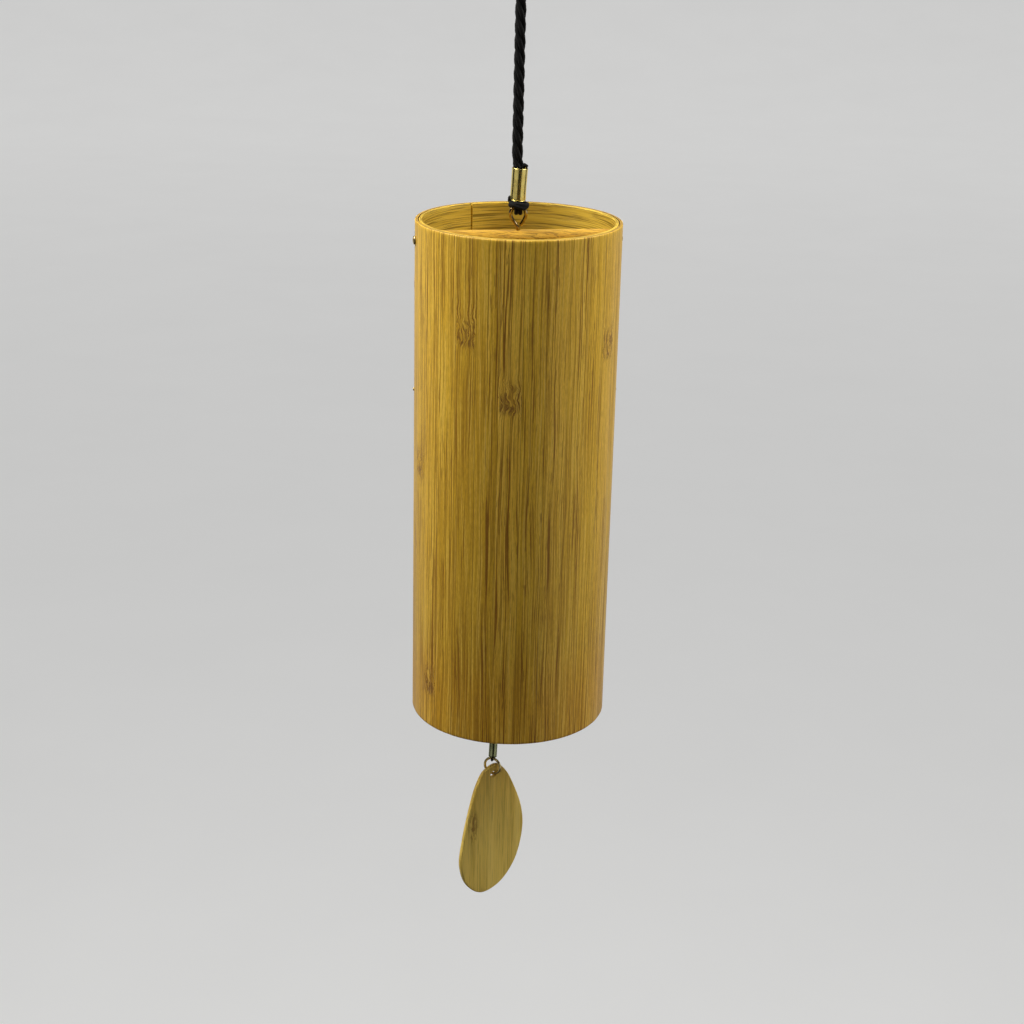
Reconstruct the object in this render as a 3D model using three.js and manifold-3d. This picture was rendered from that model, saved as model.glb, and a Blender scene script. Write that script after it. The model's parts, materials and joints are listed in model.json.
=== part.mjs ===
// Hanging wind chime: a bamboo tube with eight metal rods inside, a clapper on a thread and a bamboo sail.
// Millimetres, +Z up. The origin is the inside top of the cord's eye, where a hook carries the chime.
import * as THREE from 'three';
import { mergeVertices } from 'three/addons/utils/BufferGeometryUtils.js';
import Module from 'manifold-3d';

const wasm = await Module();
wasm.setup();

// ---- Driving dimensions -------------------------------------------------------------------------
const TUBE_LENGTH = 165;
const TUBE_RADIUS = 32.3;
const TUBE_BORE_RADIUS = 30;
const INNER_PLY_RADIUS = 31.1;     // where the cross-grained inner ply meets the upright outer ply
const PLY_GLUE_LINE = 0.08;
const RIM_CHAMFER = 0.25;
const RIM_DROP = 98;               // from the hook down to the tube's top rim
const TUBE_OFFSET = 1;             // the knot sets the tube's axis this far to the right of the cord
const TUBE_SIDES = 96;

const CORD_RADIUS = 1.7;
const EYE_CORD_RADIUS = 1.4;
const CORD_SIDES = 8;
const THROAT_Z = 72;               // heights from here on are above the tube's top rim
const EYE_TOP_Z = RIM_DROP + EYE_CORD_RADIUS;
const END_GAP = 0.3;
const SEAT_GAP = 0.1;               // between parts that rest on each other

const FERRULE_RADIUS = 2.5;
const FERRULE_BORE = 2.15;
const FERRULE_BOTTOM_Z = 6.2;
const FERRULE_LENGTH = 9.9;
const FERRULE_BOTTOM_X = -0.55;
const FERRULE_TILT = THREE.MathUtils.degToRad(2.8);

const BAIL_Z = 3.9;                // centre of the wire where it lies in the cord's bight
const EYE_X = -0.3;
const EYE_WIRE_RADIUS = 0.6;
const EYE_HALF_WIDTH = 2.4;
const EYE_FORK_Z = -1.9;
const BIGHT_RADIUS = 1.75;
const BIGHT_THICKNESS = 1.6;
const BIGHT_WIDTH = 3;
const WRAP_BOTTOM_Z = 4.3;
const WRAP_TOP_Z = 5.9;
const WRAP_THICKNESS = 1.4;

const BAR_Z = -6.05;
const BAR_RADIUS = 3;
const BAR_HALF_LENGTH = 29.6;
const BAR_TURN = THREE.MathUtils.degToRad(9.5);
const SHANK_HOLE_RADIUS = 0.95;
const WASHER_RADIUS = 2;
const WASHER_THICKNESS = 0.5;

const NAIL_RADIUS = 0.65;
const NAIL_LENGTH = 11;
const NAIL_HEAD_RADIUS = 1.4;
const NAIL_HEAD_HEIGHT = 0.85;
const PIN_RADIUS = 0.55;
const PIN_PROUD = 0.35;
const PIN_INNER_END = 25.5;
const PIN_TURN = THREE.MathUtils.degToRad(5);
const HOLE_CLEARANCE = 0.3;

const PLATE_RADIUS = 29.6;
const PLATE_TOP_Z = -53;
const PLATE_THICKNESS = 3;
const PLATE_MIDDLE_Z = PLATE_TOP_Z - PLATE_THICKNESS / 2;
const PLATE_HOLE_RADIUS = 1.2;
const SOCKET_DEPTH = 1.5;

const ROD_RADIUS = 1.25;
const ROD_CIRCLE_RADIUS = 21;
// A steel rod this thick, held at one end, sounds at ROD_STIFFNESS over its length squared, in hertz.
const ROD_STIFFNESS = 1.766;
const ROD_NOTES = [220, 587.3, 329.6, 987.8, 261.6, 523.3, 293.7, 880];

const THREAD_RADIUS = 0.4;
const LOOP_THREAD_RADIUS = 0.26;
const THREAD_HOLE_RADIUS = 0.8;
const BEAD_RADIUS = 2.9;
const BEAD_END_RADIUS = 2;
const BEAD_HEIGHT = 3.8;
const BEAD_SLOPE = 1.3;
const PENDULUM_LEAN = THREE.MathUtils.degToRad(2.085);
const PIVOT_Z = -58.5;             // just under the sound plate, where the thread starts to bend
// Distances down the pendulum from its pivot.
const CLAPPER_DROP = 34;
const CLAPPER_RADIUS = 13;
const CLAPPER_THICKNESS = 5;
const CLAPPER_EDGE = 0.8;
const KNOT_RADIUS = 1.4;
const CRIMP_RADIUS = 1.45;
const CRIMP_BORE = 1;
const CRIMP_LENGTH = 10;
const CRIMP_BOTTOM_DROP = 127.7;
const CRIMP_GRIP = 3;

const RING_WIRE_RADIUS = 0.45;
const RING_RADIUS = 2.85;
const RING_TOP_DROP = 128.5;
const RING_TURN = THREE.MathUtils.degToRad(-25);
const RING_SLIT = 0.06;            // radians left open where the ring's ends meet

const SAIL_THICKNESS = 1.7;
const SAIL_TURN = THREE.MathUtils.degToRad(34);
const SAIL_HOLE_RADIUS = 1.45;
const SAIL_HOLE_PLAY = 0.85;       // between the ring's wire and the top edge of the sail's hole

// ---- Materials ----------------------------------------------------------------------------------
function material(color, roughness, metalness) {
  return new THREE.MeshStandardMaterial({ color, roughness, metalness });
}

const BLACK_CORD = () => material(0x15151a, 0.85, 0);
const DARK_THREAD = () => material(0x2c2823, 0.75, 0);
const BRASS = () => material(0xb99a4e, 0.3, 1);
const BAMBOO = () => material(0xc9a355, 0.5, 0);
const DARK_BAMBOO = () => material(0xa8742c, 0.55, 0);
const STEEL = () => material(0xa7a9ac, 0.3, 1);

// ---- Solids -------------------------------------------------------------------------------------
function toSolid(geometry) {
  const bare = geometry.clone();
  bare.deleteAttribute('normal');
  bare.deleteAttribute('uv');
  const merged = mergeVertices(bare, 1e-5);
  return new wasm.Manifold(new wasm.Mesh({
    numProp: 3,
    vertProperties: new Float32Array(merged.attributes.position.array),
    triVerts: new Uint32Array(merged.index.array),
  }));
}

function fromSolid(solid) {
  const mesh = solid.getMesh();
  const geometry = new THREE.BufferGeometry();
  geometry.setAttribute('position', new THREE.BufferAttribute(new Float32Array(mesh.vertProperties), 3));
  geometry.setIndex(new THREE.BufferAttribute(new Uint32Array(mesh.triVerts), 1));
  geometry.computeVertexNormals();
  return geometry;
}

function drill(geometry, tools) {
  return fromSolid(tools.reduce((solid, tool) => solid.subtract(toSolid(tool)), toSolid(geometry)));
}

function cylinderBetween(start, end, radius, sides = 24) {
  const span = new THREE.Vector3().subVectors(end, start);
  const geometry = new THREE.CylinderGeometry(radius, radius, span.length(), sides);
  const turn = new THREE.Quaternion().setFromUnitVectors(
    new THREE.Vector3(0, 1, 0), span.clone().normalize());
  geometry.applyQuaternion(turn);
  const middle = new THREE.Vector3().addVectors(start, end).multiplyScalar(0.5);
  return geometry.translate(middle.x, middle.y, middle.z);
}

function uprightCylinder(x, y, bottom, top, radius, sides) {
  return cylinderBetween(new THREE.Vector3(x, y, bottom), new THREE.Vector3(x, y, top), radius, sides);
}

// Turns [radius, height] pairs about the Z axis; the outline closes on itself.
function turned(outline, sides = 32) {
  const points = [...outline, outline[0]].map(([radius, height]) => new THREE.Vector2(radius, height));
  return new THREE.LatheGeometry(points, sides).rotateX(Math.PI / 2);
}

function tubeAlong(points, radius, steps, sides = CORD_SIDES) {
  const section = new THREE.Shape();
  for (let side = 0; side < sides; side += 1) {
    const angle = (2 * Math.PI * side) / sides;
    const corner = [radius * Math.cos(angle), radius * Math.sin(angle)];
    if (side === 0) section.moveTo(...corner);
    else section.lineTo(...corner);
  }
  const path = new THREE.CatmullRomCurve3(points.map(([x, y, z]) => new THREE.Vector3(x, y, z)));
  return new THREE.ExtrudeGeometry(section, { steps, extrudePath: path, bevelEnabled: false });
}

function mirrored(points) {
  return [...points, ...points.slice(0, -1).reverse().map(([x, y, z]) => [-x, y, z])];
}

// A point at the given radius and height round the tube's axis.
function around(angle, radius, z) {
  return new THREE.Vector3(radius * Math.cos(angle), radius * Math.sin(angle), z);
}

function part(parent, name, geometry, look) {
  const mesh = new THREE.Mesh(geometry, look);
  mesh.name = name;
  parent.add(mesh);
  return mesh;
}

// ---- Hanging cord, its ferrule and its knot -----------------------------------------------------
function addHangingLine(line, tube) {
  const eye = mirrored([[-1.55, 0, THROAT_Z], [-1.75, 0, 74.5], [-4.2, 0, 81], [-6.6, 0, 89],
    [-5, 0, 96.2], [0, 0, EYE_TOP_Z]]);
  part(line, 'cord_eye', tubeAlong(eye, EYE_CORD_RADIUS, 26), BLACK_CORD());

  const cord = [[0.72, 0, 11], [0.65, 0, 14], [0.55, 0, 16.2], [0.1, 0, 19], [0, 0, 24], [0, 0, 36],
    [0, 0, 48], [0, 0, 60], [0, 0, THROAT_Z - END_GAP]];
  part(line, 'hanging_cord', tubeAlong(cord, CORD_RADIUS, 16), BLACK_CORD());

  const lip = 0.15;
  const ferrule = turned([[FERRULE_BORE, 0], [FERRULE_RADIUS - lip, 0], [FERRULE_RADIUS, lip],
    [FERRULE_RADIUS, FERRULE_LENGTH - lip], [FERRULE_RADIUS - lip, FERRULE_LENGTH],
    [FERRULE_BORE, FERRULE_LENGTH]]);
  const ferruleMesh = part(tube, 'upper_ferrule', ferrule, BRASS());
  ferruleMesh.position.set(FERRULE_BOTTOM_X, 0, FERRULE_BOTTOM_Z);
  ferruleMesh.rotation.y = FERRULE_TILT;

  part(tube, 'cord_bight', bightGeometry(), BLACK_CORD());
  part(tube, 'cord_wrap', wrapGeometry(), BLACK_CORD());
}

// Two strands side by side, down in front of the wire, under it and up behind.
function bightGeometry() {
  const outer = BIGHT_RADIUS + BIGHT_THICKNESS / 2;
  const inner = BIGHT_RADIUS - BIGHT_THICKNESS / 2;
  const legTop = FERRULE_BOTTOM_Z - END_GAP - BAIL_Z;
  const outline = new THREE.Shape();
  outline.moveTo(-outer, legTop);
  outline.absarc(0, 0, outer, Math.PI, 2 * Math.PI, false);
  outline.lineTo(outer, legTop);
  outline.lineTo(inner, legTop);
  outline.absarc(0, 0, inner, 2 * Math.PI, Math.PI, true);
  outline.lineTo(-inner, legTop);
  outline.closePath();
  const geometry = new THREE.ExtrudeGeometry(outline, {
    depth: BIGHT_WIDTH, bevelEnabled: false, curveSegments: 10,
  });
  geometry.translate(0, 0, -BIGHT_WIDTH / 2);
  geometry.rotateX(Math.PI / 2);
  geometry.rotateZ(Math.PI / 2);
  return geometry.translate(EYE_X, 0, BAIL_Z);
}

// The turn of cord that binds the bight's legs, as a flat oval band.
function wrapGeometry() {
  const clear = 0.25;
  const holeX = BIGHT_WIDTH / 2 + clear;
  const holeY = BIGHT_RADIUS + BIGHT_THICKNESS / 2 + clear;
  const band = new THREE.Shape();
  band.absellipse(0, 0, holeX * 1.2 + WRAP_THICKNESS, holeY * 1.2 + WRAP_THICKNESS, 0, 2 * Math.PI);
  const hole = new THREE.Path();
  hole.moveTo(-holeX, -holeY);
  hole.lineTo(-holeX, holeY);
  hole.lineTo(holeX, holeY);
  hole.lineTo(holeX, -holeY);
  hole.closePath();
  band.holes.push(hole);
  const geometry = new THREE.ExtrudeGeometry(band, {
    depth: WRAP_TOP_Z - WRAP_BOTTOM_Z, bevelEnabled: false, curveSegments: 12,
  });
  return geometry.translate(EYE_X, 0, WRAP_BOTTOM_Z);
}

// ---- Wire eye, crossbar and its nails -----------------------------------------------------------
function addCrossbar(tube) {
  const shankEnd = BAR_Z - BAR_RADIUS - WASHER_THICKNESS - 1.2;
  const wire = [[0, 0, shankEnd + 0.2], [0, 0, -6], [0, 0, -3.4], [-0.35, 0, EYE_FORK_Z],
    [-1.55, 0, -0.3], [-EYE_HALF_WIDTH, 0, 1.6], [-2.05, 0, 3.15], [-1.3, 0, 3.8], [0, 0, BAIL_Z],
    [1.3, 0, 3.8], [2.05, 0, 3.15], [EYE_HALF_WIDTH, 0, 1.6], [1.75, 0, -0.1], [1.15, 0, -1.15]];
  const head = uprightCylinder(0, 0, shankEnd, shankEnd + 0.7, EYE_WIRE_RADIUS * 2, 16);
  const wireSolid = toSolid(tubeAlong(wire, EYE_WIRE_RADIUS, 64)).add(toSolid(head));
  part(tube, 'wire_eye', fromSolid(wireSolid), BRASS()).position.x = EYE_X;

  const end = around(BAR_TURN, BAR_HALF_LENGTH, BAR_Z);
  const otherEnd = around(BAR_TURN + Math.PI, BAR_HALF_LENGTH, BAR_Z);
  const nailHole = NAIL_RADIUS + HOLE_CLEARANCE;
  const nailTip = TUBE_RADIUS - NAIL_LENGTH - 1;
  const bar = drill(cylinderBetween(otherEnd, end, BAR_RADIUS, 32), [
    uprightCylinder(EYE_X, 0, BAR_Z - BAR_RADIUS - 1, BAR_Z + BAR_RADIUS + 1, SHANK_HOLE_RADIUS),
    cylinderBetween(around(BAR_TURN, nailTip, BAR_Z), around(BAR_TURN, TUBE_RADIUS, BAR_Z), nailHole),
    cylinderBetween(around(BAR_TURN + Math.PI, nailTip, BAR_Z),
      around(BAR_TURN + Math.PI, TUBE_RADIUS, BAR_Z), nailHole),
  ]);
  part(tube, 'crossbar', bar, DARK_BAMBOO());

  const washerTop = BAR_Z - BAR_RADIUS - SEAT_GAP;
  const washer = turned([[SHANK_HOLE_RADIUS, washerTop - WASHER_THICKNESS],
    [WASHER_RADIUS, washerTop - WASHER_THICKNESS], [WASHER_RADIUS, washerTop],
    [SHANK_HOLE_RADIUS, washerTop]], 24);
  part(tube, 'eye_washer', washer, BRASS()).position.x = EYE_X;

  addNail(tube, 'crossbar_nail_right', BAR_TURN);
  addNail(tube, 'crossbar_nail_left', BAR_TURN + Math.PI);
}

function addNail(tube, name, angle) {
  const seat = 0.05;
  const outline = [[0, -NAIL_LENGTH], [NAIL_RADIUS, -NAIL_LENGTH + 1], [NAIL_RADIUS, seat],
    [NAIL_HEAD_RADIUS, seat], [NAIL_HEAD_RADIUS * 0.92, seat + NAIL_HEAD_HEIGHT * 0.5],
    [NAIL_HEAD_RADIUS * 0.6, seat + NAIL_HEAD_HEIGHT * 0.88], [0, seat + NAIL_HEAD_HEIGHT]];
  const points = outline.map(([radius, height]) => new THREE.Vector2(radius, height));
  const geometry = new THREE.LatheGeometry(points, 20).rotateZ(-Math.PI / 2);
  const mesh = part(tube, name, geometry, BRASS());
  mesh.position.copy(around(angle, TUBE_RADIUS, BAR_Z));
  mesh.rotation.z = angle;
}

// ---- Two-ply bamboo tube ------------------------------------------------------------------------
function wallHoles() {
  const inside = TUBE_BORE_RADIUS - 1;
  const outside = TUBE_RADIUS + 1;
  const hole = (angle, z, radius) => cylinderBetween(
    around(angle, inside, z), around(angle, outside, z), radius + HOLE_CLEARANCE, 16);
  return [0, Math.PI].flatMap((half) => [
    hole(BAR_TURN + half, BAR_Z, NAIL_RADIUS), hole(PIN_TURN + half, PLATE_MIDDLE_Z, PIN_RADIUS)]);
}

function plyGeometry(inner, outer) {
  const outline = [[inner, -TUBE_LENGTH], [outer - RIM_CHAMFER, -TUBE_LENGTH],
    [outer, -TUBE_LENGTH + RIM_CHAMFER], [outer, -RIM_CHAMFER], [outer - RIM_CHAMFER, 0], [inner, 0]];
  return drill(turned(outline, TUBE_SIDES), wallHoles());
}

function addTube(tube) {
  part(tube, 'tube_outer_ply', plyGeometry(INNER_PLY_RADIUS + PLY_GLUE_LINE, TUBE_RADIUS), BAMBOO());
  part(tube, 'tube_inner_ply', plyGeometry(TUBE_BORE_RADIUS, INNER_PLY_RADIUS), DARK_BAMBOO());
}

// ---- Sound plate, pins and rods -----------------------------------------------------------------
function rodAngle(index) {
  return ((index + 0.5) * Math.PI) / 4;
}

function addSoundPlate(tube) {
  const bottom = PLATE_TOP_Z - PLATE_THICKNESS;
  const sockets = ROD_NOTES.map((note, index) => {
    const { x, y } = around(rodAngle(index), ROD_CIRCLE_RADIUS, 0);
    return uprightCylinder(x, y, bottom - 1, bottom + SOCKET_DEPTH, ROD_RADIUS + HOLE_CLEARANCE, 16);
  });
  const pinHoles = [PIN_TURN, PIN_TURN + Math.PI].map((angle) => cylinderBetween(
    around(angle, PIN_INNER_END - 1, PLATE_MIDDLE_Z), around(angle, TUBE_RADIUS, PLATE_MIDDLE_Z),
    PIN_RADIUS + HOLE_CLEARANCE, 16));
  const disc = uprightCylinder(0, 0, bottom, PLATE_TOP_Z, PLATE_RADIUS, 64);
  const centreHole = uprightCylinder(0, 0, bottom - 1, PLATE_TOP_Z + 1, PLATE_HOLE_RADIUS, 16);
  part(tube, 'sound_plate', drill(disc, [centreHole, ...sockets, ...pinHoles]), STEEL());

  ['right', 'left'].forEach((side, half) => {
    const angle = PIN_TURN + half * Math.PI;
    part(tube, `plate_pin_${side}`, cylinderBetween(around(angle, PIN_INNER_END, PLATE_MIDDLE_Z),
      around(angle, TUBE_RADIUS + PIN_PROUD, PLATE_MIDDLE_Z), PIN_RADIUS, 12), BRASS());
  });

  ROD_NOTES.forEach((note, index) => {
    const length = 1000 * Math.sqrt(ROD_STIFFNESS / note);
    const top = bottom + SOCKET_DEPTH - END_GAP;
    const { x, y } = around(rodAngle(index), ROD_CIRCLE_RADIUS, 0);
    part(tube, `rod_${index + 1}`, uprightCylinder(x, y, bottom - length, top, ROD_RADIUS, 16), STEEL());
  });
}

// ---- Clapper pendulum ---------------------------------------------------------------------------
function addAnchor(tube) {
  const low = PLATE_TOP_Z + SEAT_GAP;
  const high = low + BEAD_HEIGHT;
  const bead = turned([[THREAD_HOLE_RADIUS, low], [BEAD_END_RADIUS, low], [BEAD_RADIUS, low + BEAD_SLOPE],
    [BEAD_RADIUS, high - BEAD_SLOPE], [BEAD_END_RADIUS, high], [THREAD_HOLE_RADIUS, high]], 24);
  part(tube, 'anchor_bead', bead, DARK_BAMBOO());
  const knotBottom = high + END_GAP;
  part(tube, 'anchor_knot', new THREE.SphereGeometry(KNOT_RADIUS, 12, 8), DARK_THREAD())
    .position.z = knotBottom + KNOT_RADIUS;
  part(tube, 'anchor_thread', uprightCylinder(0, 0, PIVOT_Z + END_GAP, knotBottom - END_GAP / 2,
    THREAD_RADIUS, CORD_SIDES), DARK_THREAD());
}

function addPendulum(tube) {
  const pendulum = new THREE.Group();
  pendulum.position.z = PIVOT_Z;
  pendulum.rotation.y = PENDULUM_LEAN;
  tube.add(pendulum);

  const clapperTop = -CLAPPER_DROP;
  const clapperBottom = clapperTop - CLAPPER_THICKNESS;
  const knotZ = clapperBottom - END_GAP - KNOT_RADIUS;
  const threadTop = knotZ - KNOT_RADIUS - END_GAP;
  const crimpTop = -CRIMP_BOTTOM_DROP + CRIMP_LENGTH;
  const thread = (name, top, bottom) => part(pendulum, name,
    uprightCylinder(0, 0, bottom, top, THREAD_RADIUS, CORD_SIDES), DARK_THREAD());

  thread('clapper_thread', 0, clapperTop - 1);
  thread('lower_thread', threadTop, crimpTop - CRIMP_GRIP);

  const clapper = turned([[THREAD_HOLE_RADIUS, clapperBottom], [CLAPPER_RADIUS - CLAPPER_EDGE, clapperBottom],
    [CLAPPER_RADIUS, clapperBottom + CLAPPER_EDGE], [CLAPPER_RADIUS, clapperTop - CLAPPER_EDGE],
    [CLAPPER_RADIUS - CLAPPER_EDGE, clapperTop], [THREAD_HOLE_RADIUS, clapperTop]], 40);
  part(pendulum, 'clapper', clapper, BAMBOO());
  part(pendulum, 'clapper_knot', new THREE.SphereGeometry(KNOT_RADIUS, 12, 8), DARK_THREAD())
    .position.z = knotZ;

  const lip = 0.1;                   // the small slope at each end of the crimp
  part(pendulum, 'crimp_tube', turned([[CRIMP_BORE, -CRIMP_BOTTOM_DROP],
    [CRIMP_RADIUS - lip, -CRIMP_BOTTOM_DROP], [CRIMP_RADIUS, -CRIMP_BOTTOM_DROP + lip],
    [CRIMP_RADIUS, crimpTop - lip], [CRIMP_RADIUS - lip, crimpTop], [CRIMP_BORE, crimpTop]], 24), BRASS());

  addSail(tube);
}

// The ring and the sail hang plumb from the end of the leaning thread.
function addSail(tube) {
  const hanger = new THREE.Group();
  hanger.position.set(-RING_TOP_DROP * Math.sin(PENDULUM_LEAN), 0,
    PIVOT_Z - RING_TOP_DROP * Math.cos(PENDULUM_LEAN));
  tube.add(hanger);

  const loop = mirrored([[-0.4, 0, 2], [-0.42, 0, 1], [-0.86, 0, 0.3], [-0.74, 0, -0.5], [0, 0, -0.86]]);
  part(hanger, 'thread_loop', tubeAlong(loop, LOOP_THREAD_RADIUS, 18), DARK_THREAD())
    .rotation.z = RING_TURN + Math.PI / 2;

  const ringPoints = [];
  const ringSteps = 24;
  for (let step = 0; step <= ringSteps; step += 1) {
    const angle = Math.PI + RING_SLIT / 2 + ((2 * Math.PI - RING_SLIT) * step) / ringSteps;
    ringPoints.push([RING_RADIUS * Math.cos(angle), 0, RING_RADIUS * (Math.sin(angle) - 1)]);
  }
  part(hanger, 'jump_ring', tubeAlong(ringPoints, RING_WIRE_RADIUS, 40), BRASS()).rotation.z = RING_TURN;

  const sail = part(hanger, 'wind_sail', sailGeometry(), BAMBOO());
  sail.position.z = -2 * RING_RADIUS + RING_WIRE_RADIUS + SAIL_HOLE_PLAY - SAIL_HOLE_RADIUS;
  sail.rotation.z = SAIL_TURN;
}

// A lopsided leaf, cut so that it balances below its hole.
function sailGeometry() {
  const outline = [[1.5, 3.5], [5, 0.5], [8.6, -6.2], [12.2, -16.2], [12.9, -24.7], [9.8, -36.7],
    [3.4, -44], [-4, -45.8], [-10, -41.2], [-12.8, -32.7], [-11.8, -23.4], [-9.6, -13.2],
    [-6.6, -3.2], [-3.5, 1.8]];
  const points = outline.map(([x, z]) => new THREE.Vector3(x, z, 0));
  const leaf = new THREE.Shape(new THREE.CatmullRomCurve3(points, true).getPoints(56).slice(0, -1));
  const bevel = 0.35;
  const geometry = new THREE.ExtrudeGeometry(leaf, {
    depth: SAIL_THICKNESS - 2 * bevel, bevelThickness: bevel, bevelSize: bevel, bevelOffset: -bevel,
    bevelSegments: 1,
  });
  geometry.translate(0, 0, -SAIL_THICKNESS / 2 + bevel);
  return drill(geometry, [uprightCylinder(0, 0, -SAIL_THICKNESS, SAIL_THICKNESS, SAIL_HOLE_RADIUS, 20)])
    .rotateX(Math.PI / 2);
}

// ---- Assembly -----------------------------------------------------------------------------------
const windChime = new THREE.Group();
const line = new THREE.Group();
line.position.z = -RIM_DROP;
const tube = new THREE.Group();
tube.position.set(TUBE_OFFSET, 0, -RIM_DROP);
windChime.add(line, tube);

addHangingLine(line, tube);
addCrossbar(tube);
addTube(tube);
addSoundPlate(tube);
addAnchor(tube);
addPendulum(tube);

export default windChime;
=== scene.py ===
"""Looks of the bamboo wind chime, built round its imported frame. Blender 4.5, metres."""
import json
import math
import random

import bpy
import numpy as np
from mathutils import Matrix, Vector, noise


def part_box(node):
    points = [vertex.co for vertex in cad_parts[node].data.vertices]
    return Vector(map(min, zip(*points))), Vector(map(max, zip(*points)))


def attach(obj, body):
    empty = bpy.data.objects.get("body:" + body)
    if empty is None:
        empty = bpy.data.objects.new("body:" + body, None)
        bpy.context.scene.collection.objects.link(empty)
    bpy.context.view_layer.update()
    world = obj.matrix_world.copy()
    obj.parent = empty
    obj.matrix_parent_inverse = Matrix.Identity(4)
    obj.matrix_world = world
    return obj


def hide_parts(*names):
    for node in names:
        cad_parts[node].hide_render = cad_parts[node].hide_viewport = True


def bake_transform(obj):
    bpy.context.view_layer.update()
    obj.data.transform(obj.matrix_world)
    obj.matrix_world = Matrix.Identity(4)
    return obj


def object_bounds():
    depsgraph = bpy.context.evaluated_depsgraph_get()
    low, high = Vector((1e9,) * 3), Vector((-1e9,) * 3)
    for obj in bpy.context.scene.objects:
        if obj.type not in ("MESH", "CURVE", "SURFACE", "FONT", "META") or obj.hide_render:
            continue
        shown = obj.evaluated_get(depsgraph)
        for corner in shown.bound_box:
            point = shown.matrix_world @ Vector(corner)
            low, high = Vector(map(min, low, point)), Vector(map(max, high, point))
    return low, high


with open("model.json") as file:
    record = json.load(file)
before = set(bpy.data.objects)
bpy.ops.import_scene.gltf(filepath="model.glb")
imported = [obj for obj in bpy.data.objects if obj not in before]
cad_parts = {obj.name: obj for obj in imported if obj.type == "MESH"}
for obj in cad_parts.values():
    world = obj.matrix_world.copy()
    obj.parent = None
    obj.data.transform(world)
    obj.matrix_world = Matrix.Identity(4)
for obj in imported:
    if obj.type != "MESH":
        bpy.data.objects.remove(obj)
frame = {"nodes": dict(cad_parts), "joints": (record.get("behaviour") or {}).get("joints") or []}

CAD_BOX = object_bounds()

# ---- Sizes, all worked out from the frame ----
MM = 0.001
TUBE_LOW, TUBE_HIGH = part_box("tube_outer_ply")
AXIS_X = (TUBE_LOW.x + TUBE_HIGH.x) / 2
RIM = TUBE_HIGH.z
TUBE_LENGTH = (TUBE_HIGH.z - TUBE_LOW.z) / MM
TUBE_RADIUS = (TUBE_HIGH.y - TUBE_LOW.y) / 2 / MM
WALL = 2.3
BORE_RADIUS = TUBE_RADIUS - WALL
SHEET_LENGTH = 2 * math.pi * BORE_RADIUS
JOINTS = {joint["name"]: joint for joint in frame["joints"]}


def place(x, y, z):
    """A point given in mm from the centre of the tube's top rim, as metres in the frame."""
    return Vector((AXIS_X + x * MM, y * MM, RIM + z * MM))


def height_of(metres):
    """A frame height as mm above the tube's top rim."""
    return (metres - RIM) / MM


def heights_of(node):
    """The bottom and top of a frame node, as mm above the tube's top rim."""
    low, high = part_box(node)
    return height_of(low.z), height_of(high.z)


def box_radius(node):
    low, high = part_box(node)
    return (high.y - low.y) / 2 / MM


# ---- Camera ----
CAMERA_BACK = 564.98
CAMERA_UP = 108.3
CAMERA_PITCH = math.radians(19.918)
CAMERA_ROLL = math.radians(1.382)
CAMERA_LENS = 64.38
SENSOR = 36


def make_camera():
    data = bpy.data.cameras.new("camera")
    data.lens = CAMERA_LENS
    data.sensor_width = SENSOR
    data.clip_start = 0.01
    camera = bpy.data.objects.new("camera", data)
    bpy.context.scene.collection.objects.link(camera)
    forward = Vector((0, math.cos(CAMERA_PITCH), -math.sin(CAMERA_PITCH)))
    level = Vector((1, 0, 0))
    upright = level.cross(forward)
    right = level * math.cos(CAMERA_ROLL) + upright * math.sin(CAMERA_ROLL)
    up = upright * math.cos(CAMERA_ROLL) - level * math.sin(CAMERA_ROLL)
    turn = Matrix((right, up, -forward)).transposed().to_4x4()
    camera.matrix_world = Matrix.Translation(place(0, -CAMERA_BACK, CAMERA_UP)) @ turn
    bpy.context.scene.camera = camera


make_camera()
bpy.context.scene.view_settings.view_transform = "Standard"


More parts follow.
